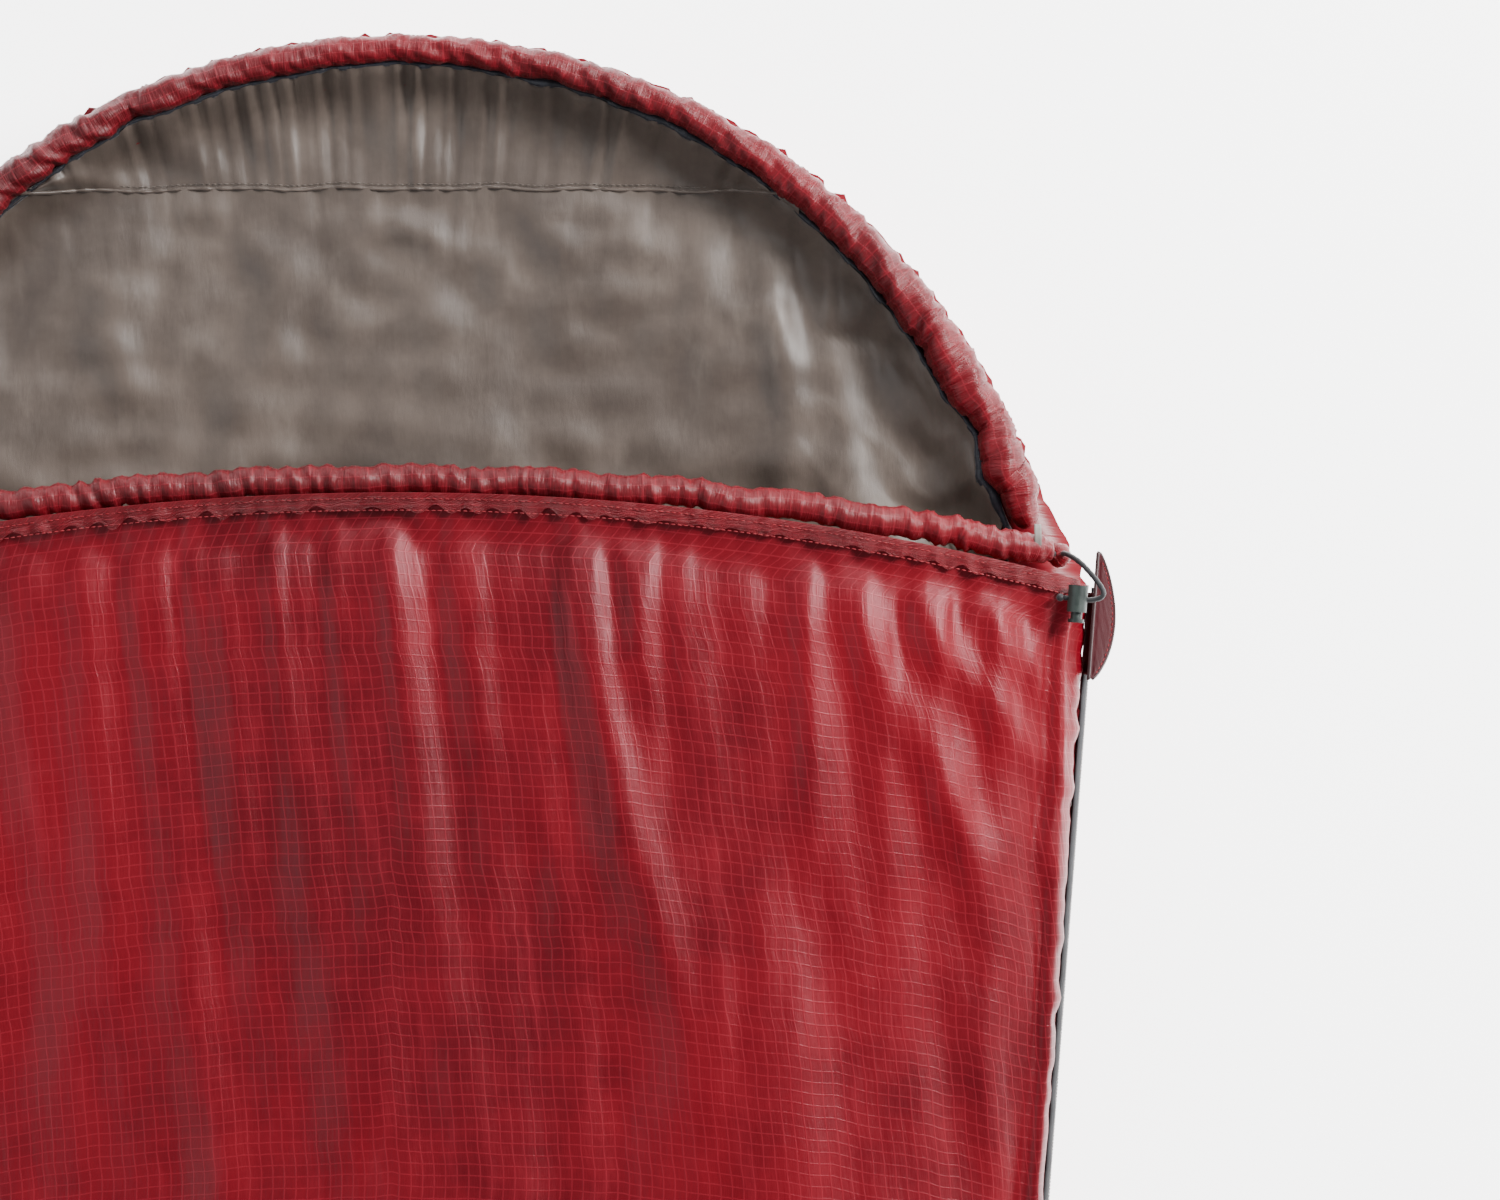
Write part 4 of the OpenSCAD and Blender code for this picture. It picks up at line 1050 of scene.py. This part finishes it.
def ball(name, at, r, materials, pleat, seed, rows=26, cols=48, axis=(0, 0, 1)):
    """a gathered knot: a ball whose pleats run from pole to pole"""
    th = np.linspace(0.06, math.pi - 0.06, rows)[:, None]
    ph = np.linspace(0, 2 * math.pi, cols, endpoint=False)[None]
    r_ = np.random.default_rng(seed)
    f = sum(np.sin(k * ph + r_.uniform(0, 6.28) + 0.9 * np.sin(2 * th + r_.uniform(0, 6))) / math.sqrt(k)
            for k in (5, 9, 14))
    rr = r * (1 + pleat * f * np.sin(th) ** 0.5)
    ax = np.asarray(axis, float) / np.linalg.norm(axis)
    s = np.cross(ax, [0.3, 0.2, 0.9])
    s /= np.linalg.norm(s)
    w = np.cross(ax, s)
    p = at + rr[..., None] * (np.cos(th)[..., None] * ax + np.sin(th)[..., None] * (np.cos(ph)[..., None]
        * s + np.sin(ph)[..., None] * w))
    v = np.concatenate([p.reshape(-1, 3), [at + ax * r * 0.93, at - ax * r * 0.93]])
    f = [tuple(q) for q in grid_faces(rows, cols, wrap=True)]
    f += [((j + 1) % cols, j, len(v) - 2) for j in range(cols)]
    f += [((rows - 1) * cols + j, (rows - 1) * cols + (j + 1) % cols, len(v) - 1) for j in range(cols)]
    uv = np.stack([np.broadcast_to(ph * r, rr.shape), np.broadcast_to(th * r, rr.shape)], -1).reshape(-1, 2)
    return build(name, v, f, materials, np.concatenate([uv, uv[:1], uv[-1:]]), closed=True)


knot = ball("tunnel_end_knot", end, 6.9, [shell_gather], 0.07, 111, axis=(0.45, -0.1, -0.85))
attach(knot, "flap", ["tunnel_end"])
tie = ball("cord_end_knot", lock_near + 2.2 * (lock_near - lock_far) / np.linalg.norm(lock_near - lock_far),
           2.15, [cordage], 0.10, 112, 14, 24, axis=(0.2, 1, 0.3))
attach(tie, "flap", ["cord_knot"])

sp0 = tunnel_at(np.array([0.8]), 2)[0]
u = np.linspace(0, 1, 18)
loop_line = np.column_stack([0 * u, 2 + 12 * u, 9.2 + 1.2 * np.sin(math.pi * u) - 5.5 * u ** 3])
strip_w = np.linspace(-2, 2, 5)
strip_top = np.stack([np.column_stack([sp0[0] + 2 + w + 0 * u, sp0[1] + loop_line[:, 1], sp0[2]
    + loop_line[:, 2] + 0.05 * abs(w)]) for w in strip_w], 1)
strip = slab_piece("woven_strip", strip_top, strip_top - [0, 0, 0.8], (strip_web, strip_web))
attach(strip, "flap", ["neck_strip"])

# ---------------------------------------------------------------- closure tab
TAB, TAB_LEN = math.radians(50), 72


def on_tab(p):
    p = np.asarray(p, float)
    x = 3 + p[..., 0] * math.cos(TAB) + p[..., 2] * math.sin(TAB)
    z = 24 - p[..., 0] * math.sin(TAB) + p[..., 2] * math.cos(TAB)
    return on_zip(np.stack([x, -49 + p[..., 1], z], -1))


s = np.linspace(0.012, 0.988, 64)
reach = 1.2 + 18.8 * np.maximum(np.sin(math.pi * s ** 0.85), 0) ** 0.75
across = np.linspace(0, 1, 17)[None]
xx = reach[:, None] * across
yy = TAB_LEN * s[:, None] + 0 * across
edge_d = np.minimum(np.minimum(across * reach[:, None], (1 - across) * reach[:, None]),
                    np.minimum(s, 1 - s)[:, None] * TAB_LEN)
belly = 0.85 + 0.55 * (1 - np.exp(-edge_d / 3.0)) + 0.12 * waves(yy + 2 * xx, 121, 6,
    16) * np.clip(edge_d / 4, 0, 1)
groove = 0.45 * np.exp(-((edge_d - 2.6) / 0.6) ** 2)
top = on_tab(np.stack([xx, yy, belly - groove - 0.35], -1))
bot = on_tab(np.stack([xx, yy, -0.8 - 0 * belly], -1))
# the tab is drawn in the darker red that holds its painted shade
tab = slab_piece("closure_tab_leaf", top, bot, (tab_red_painted_shade, tab_red_painted_shade))
tint(tab_red_painted_shade, "Specular", 0.45, 0.5)
attach(tab, "tab", ["closure_tab"])
rim_line_tab = np.concatenate([np.column_stack([reach, TAB_LEN * s, 0 * s]), [[0.6, TAB_LEN - 0.3, 0]],
    np.column_stack([0 * s + 0.3, TAB_LEN * s, 0 * s])[::-1], [[0.6, 0.5, 0]]])
edge_tab = tube("closure_tab_binding", on_tab(rim_line_tab), 0.95, [tab_rim_red_painted_shade], n=10)
attach(edge_tab, "tab")
inset = np.column_stack([np.maximum(reach - 2.7, 0.8), TAB_LEN * s, 0 * s + 0.75])[3:-3]
tab_thread = stitches("closure_tab_stitches", on_tab(inset), thread_red, 2.2, 1.0, 0.3, up=(0.6, 0, 0.7))
attach(tab_thread, "tab")
u = np.linspace(0, 1, 9)[:, None]
v = np.linspace(0, 1, 22)[None]
ax_ = 0.3 + 2.5 * u ** 1.6 + 0 * v
anchor_out = on_zip(np.stack([ax_ + 1.2, -46 + 46 * v + 0 * u, 13.2 + 10.2 * u + 0 * v], -1))
anchor_in = on_zip(np.stack([ax_ + 0.0, -46 + 46 * v + 0 * u, 13.2 + 10.2 * u + 0 * v], -1))
anchor = slab_piece("closure_tab_anchor", anchor_out, anchor_in, (tab_red_painted_shade, tab_red_painted_shade))
attach(anchor, "flap", ["tab_anchor"])

# ---------------------------------------------------------------- zip: tapes, coils, draft tube
COIL_X, COIL_Z, ZIP_LEN = 3.2, 2.0, 1035.0


def zip_tape(name, up, body, node):
    yv = np.linspace(-ZIP_LEN, 0, 260)
    prof = np.array([(COIL_X, COIL_Z + 0.3), (COIL_X, 4.4), (COIL_X, 7.4), (2.6, 9.0), (1.4, 10.0),
                     (0.5, 10.9)])
    wob = 0.12 * waves(yv, 131 if up > 0 else 132, 12, 50)
    outer = np.stack([np.stack([np.full_like(yv, x + 0.4) + wob * (z > 4), yv, np.full_like(yv, up * z)],
        -1) for x, z in prof], 1)
    o = slab_piece(name, on_zip(outer), on_zip(outer - [0.8, 0, 0]), (tape_cloth, tape_cloth))
    attach(o, body, [node])
    th = on_zip(np.stack([np.full_like(yv, 3.0), yv, np.full_like(yv, up * 8.3)], -1))
    row = stitches(name + "_stitches", th, thread_grey, 2.2, 1.2, 0.28, up=(1, 0, 0))
    attach(row, body)


zip_tape("lower_zip_tape", -1, "bag", "back_zip_tape")
zip_tape("upper_zip_tape", 1, None, "flap_zip_tape")


def coil(name, up, body, node):
    """one half of the coil: an oval monofilament spiral sewn to its tape"""
    pitch, seg = 2.0, 9
    turns_n = int(ZIP_LEN / pitch)
    a = np.arange(turns_n * seg) * 2 * math.pi / seg
    yv = -ZIP_LEN + a / (2 * math.pi) * pitch + (pitch / 2 if up > 0 else 0)
    path = np.stack([COIL_X + 0.86 * np.cos(a), yv, up * (COIL_Z - 0.28 + 1.12 * np.sin(a))], -1)
    o = tube(name, on_zip(path), 0.33, [coil_mat], n=5)
    attach(o, body, [node])


coil("lower_coil", -1, "bag", "back_zip_coil")
coil("upper_coil", 1, None, "flap_zip_coil")

dy = np.linspace(-ZIP_LEN + 2, -72, 300)
draft_c = on_zip(np.stack([0 * dy - 44, dy, 0 * dy - 8], -1))
da = np.linspace(0, 2 * math.pi, 20, endpoint=False)[None]
draft_r = 8.6 * (1 + 0.05 * waves(dy[:, None] + 6 * np.sin(da), 141, 12, 30, 11) + 0.03 * waves(dy[:, None],
    142, 40, 90))
draft = tube("draft_tube_padded", draft_c, draft_r, [satin], n=20)
attach(draft, "bag", ["draft_tube"])

# left side seam: a rolled, stitched edge where the front meets the back
sy = np.linspace(Y_FOOT, EDGE, 500)
seam_l = np.column_stack([-half_w(sy) - 0.2, sy, 0 * sy + SEAM])
side_seam = tube("side_seam", seam_l, (1.5 + 0.35 * waves(sy, 151, 9, 22, 11)), [shell_gather], n=10)
attach(side_seam, "bag")
sy2 = np.linspace(-306, Y_FOOT, 200)
seam_r = np.column_stack([half_w(sy2) + 0.2, sy2, 0 * sy2 + SEAM])
low_seam = tube("lower_side_seam", seam_r, (1.5 + 0.35 * waves(sy2, 152, 9, 22, 11)), [shell_gather], n=10)
attach(low_seam, "bag")
foot_ring_line = foot_out[1]
foot_seam = tube("foot_seam", np.concatenate([foot_ring_line, foot_ring_line[:2]]), 1.3, [shell_gather],
                 n=8, caps=False)
attach(foot_seam, "bag")

# ---------------------------------------------------------------- foot loops
LOOP_X, LOOP_Z, LOOP_HALF = 110.0, 48.5, 7.5
turn = math.acos(((LOOP_X + LOOP_HALF) / half_w(Y_FOOT)) ** (1 / FOOT_ROUND))
loop_y = Y_FOOT - FOOT_LEN * math.sin(turn) - 1.55
prof = [(0.5, 12.2), (-8, 12.4), (-15, 12.2)] + [(-19.3 - 5.9 * math.sin(a), 6.5 + 5.7 * math.cos(a))
    for a in np.linspace(0.15, math.pi - 0.15, 11)] + [(-15, 0.8), (-8, 0.6), (0.5, 0.8)]
prof = resample(np.column_stack([np.array(prof), np.zeros(len(prof))]), 0.9)[:, :2]
for side in (-1, 1):
    wv = np.linspace(-LOOP_HALF, LOOP_HALF, 9)
    path = np.stack([np.column_stack([np.full(len(prof), side * LOOP_X + w), loop_y + prof[:, 0], LOOP_Z
        + prof[:, 1] + 0.04 * (LOOP_HALF - abs(w))]) for w in wv], 1)
    g = np.gradient(prof, axis=0)
    nrm = np.column_stack([0 * g[:, 0], g[:, 1], -g[:, 0]]) / np.linalg.norm(g, axis=1)[:, None]
    t_ = 0.75 + 0.06 * waves(np.arange(len(prof)) * 0.9, 161 + side, 3, 9)
    o = slab_piece("foot_loop_" + ("left" if side < 0 else "right"), path + (nrm * t_[:, None])[:, None],
                   path - (nrm * t_[:, None])[:, None], (web, web))
    attach(o, "bag")
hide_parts("foot_loops")
for side in (-1, 1):
    for dz in (12.9, -0.1):
        p = np.array([[side * LOOP_X + x, loop_y - 2.5, LOOP_Z + dz] for x in (-7, 7)])
        name = "foot_loop_tack_" + ("l" if side < 0 else "r") + ("_a" if dz > 5 else "_b")
        o = stitches(name, p, thread_grey, 1.4, 0.6, 0.35, up=(0, 0, 1 if dz > 5 else -1))
        attach(o, "bag")

# ---------------------------------------------------------------- the CAD's own hard pieces, with rounded edges
for node, m, width in (("slider_body", enamel, 0.22), ("slider_pin", enamel, 0.15),
                       ("zip_pull", enamel, 0.45),
                       ("back_top_stop", enamel, 0.25), ("flap_top_stop", enamel, 0.25),
                       ("zip_bottom_box", enamel, 0.4),
                       ("lock_barrel", lock_mat, 0.5), ("lock_plunger", lock_mat, 0.35),
                       ("lock_spring", steel, 0.05),
                       ("tab_hook_patch", hooks, 0.15), ("underside_panel", under_mat, 0.4)):
    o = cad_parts[node]
    for i in range(max(len(o.material_slots), 1)):
        if o.material_slots:
            o.material_slots[i].material = m
        else:
            o.data.materials.append(m)
    bev = o.modifiers.new("edges", "BEVEL")
    bev.width, bev.segments, bev.limit_method, bev.angle_limit = width * MM, 2, "ANGLE", math.radians(35)
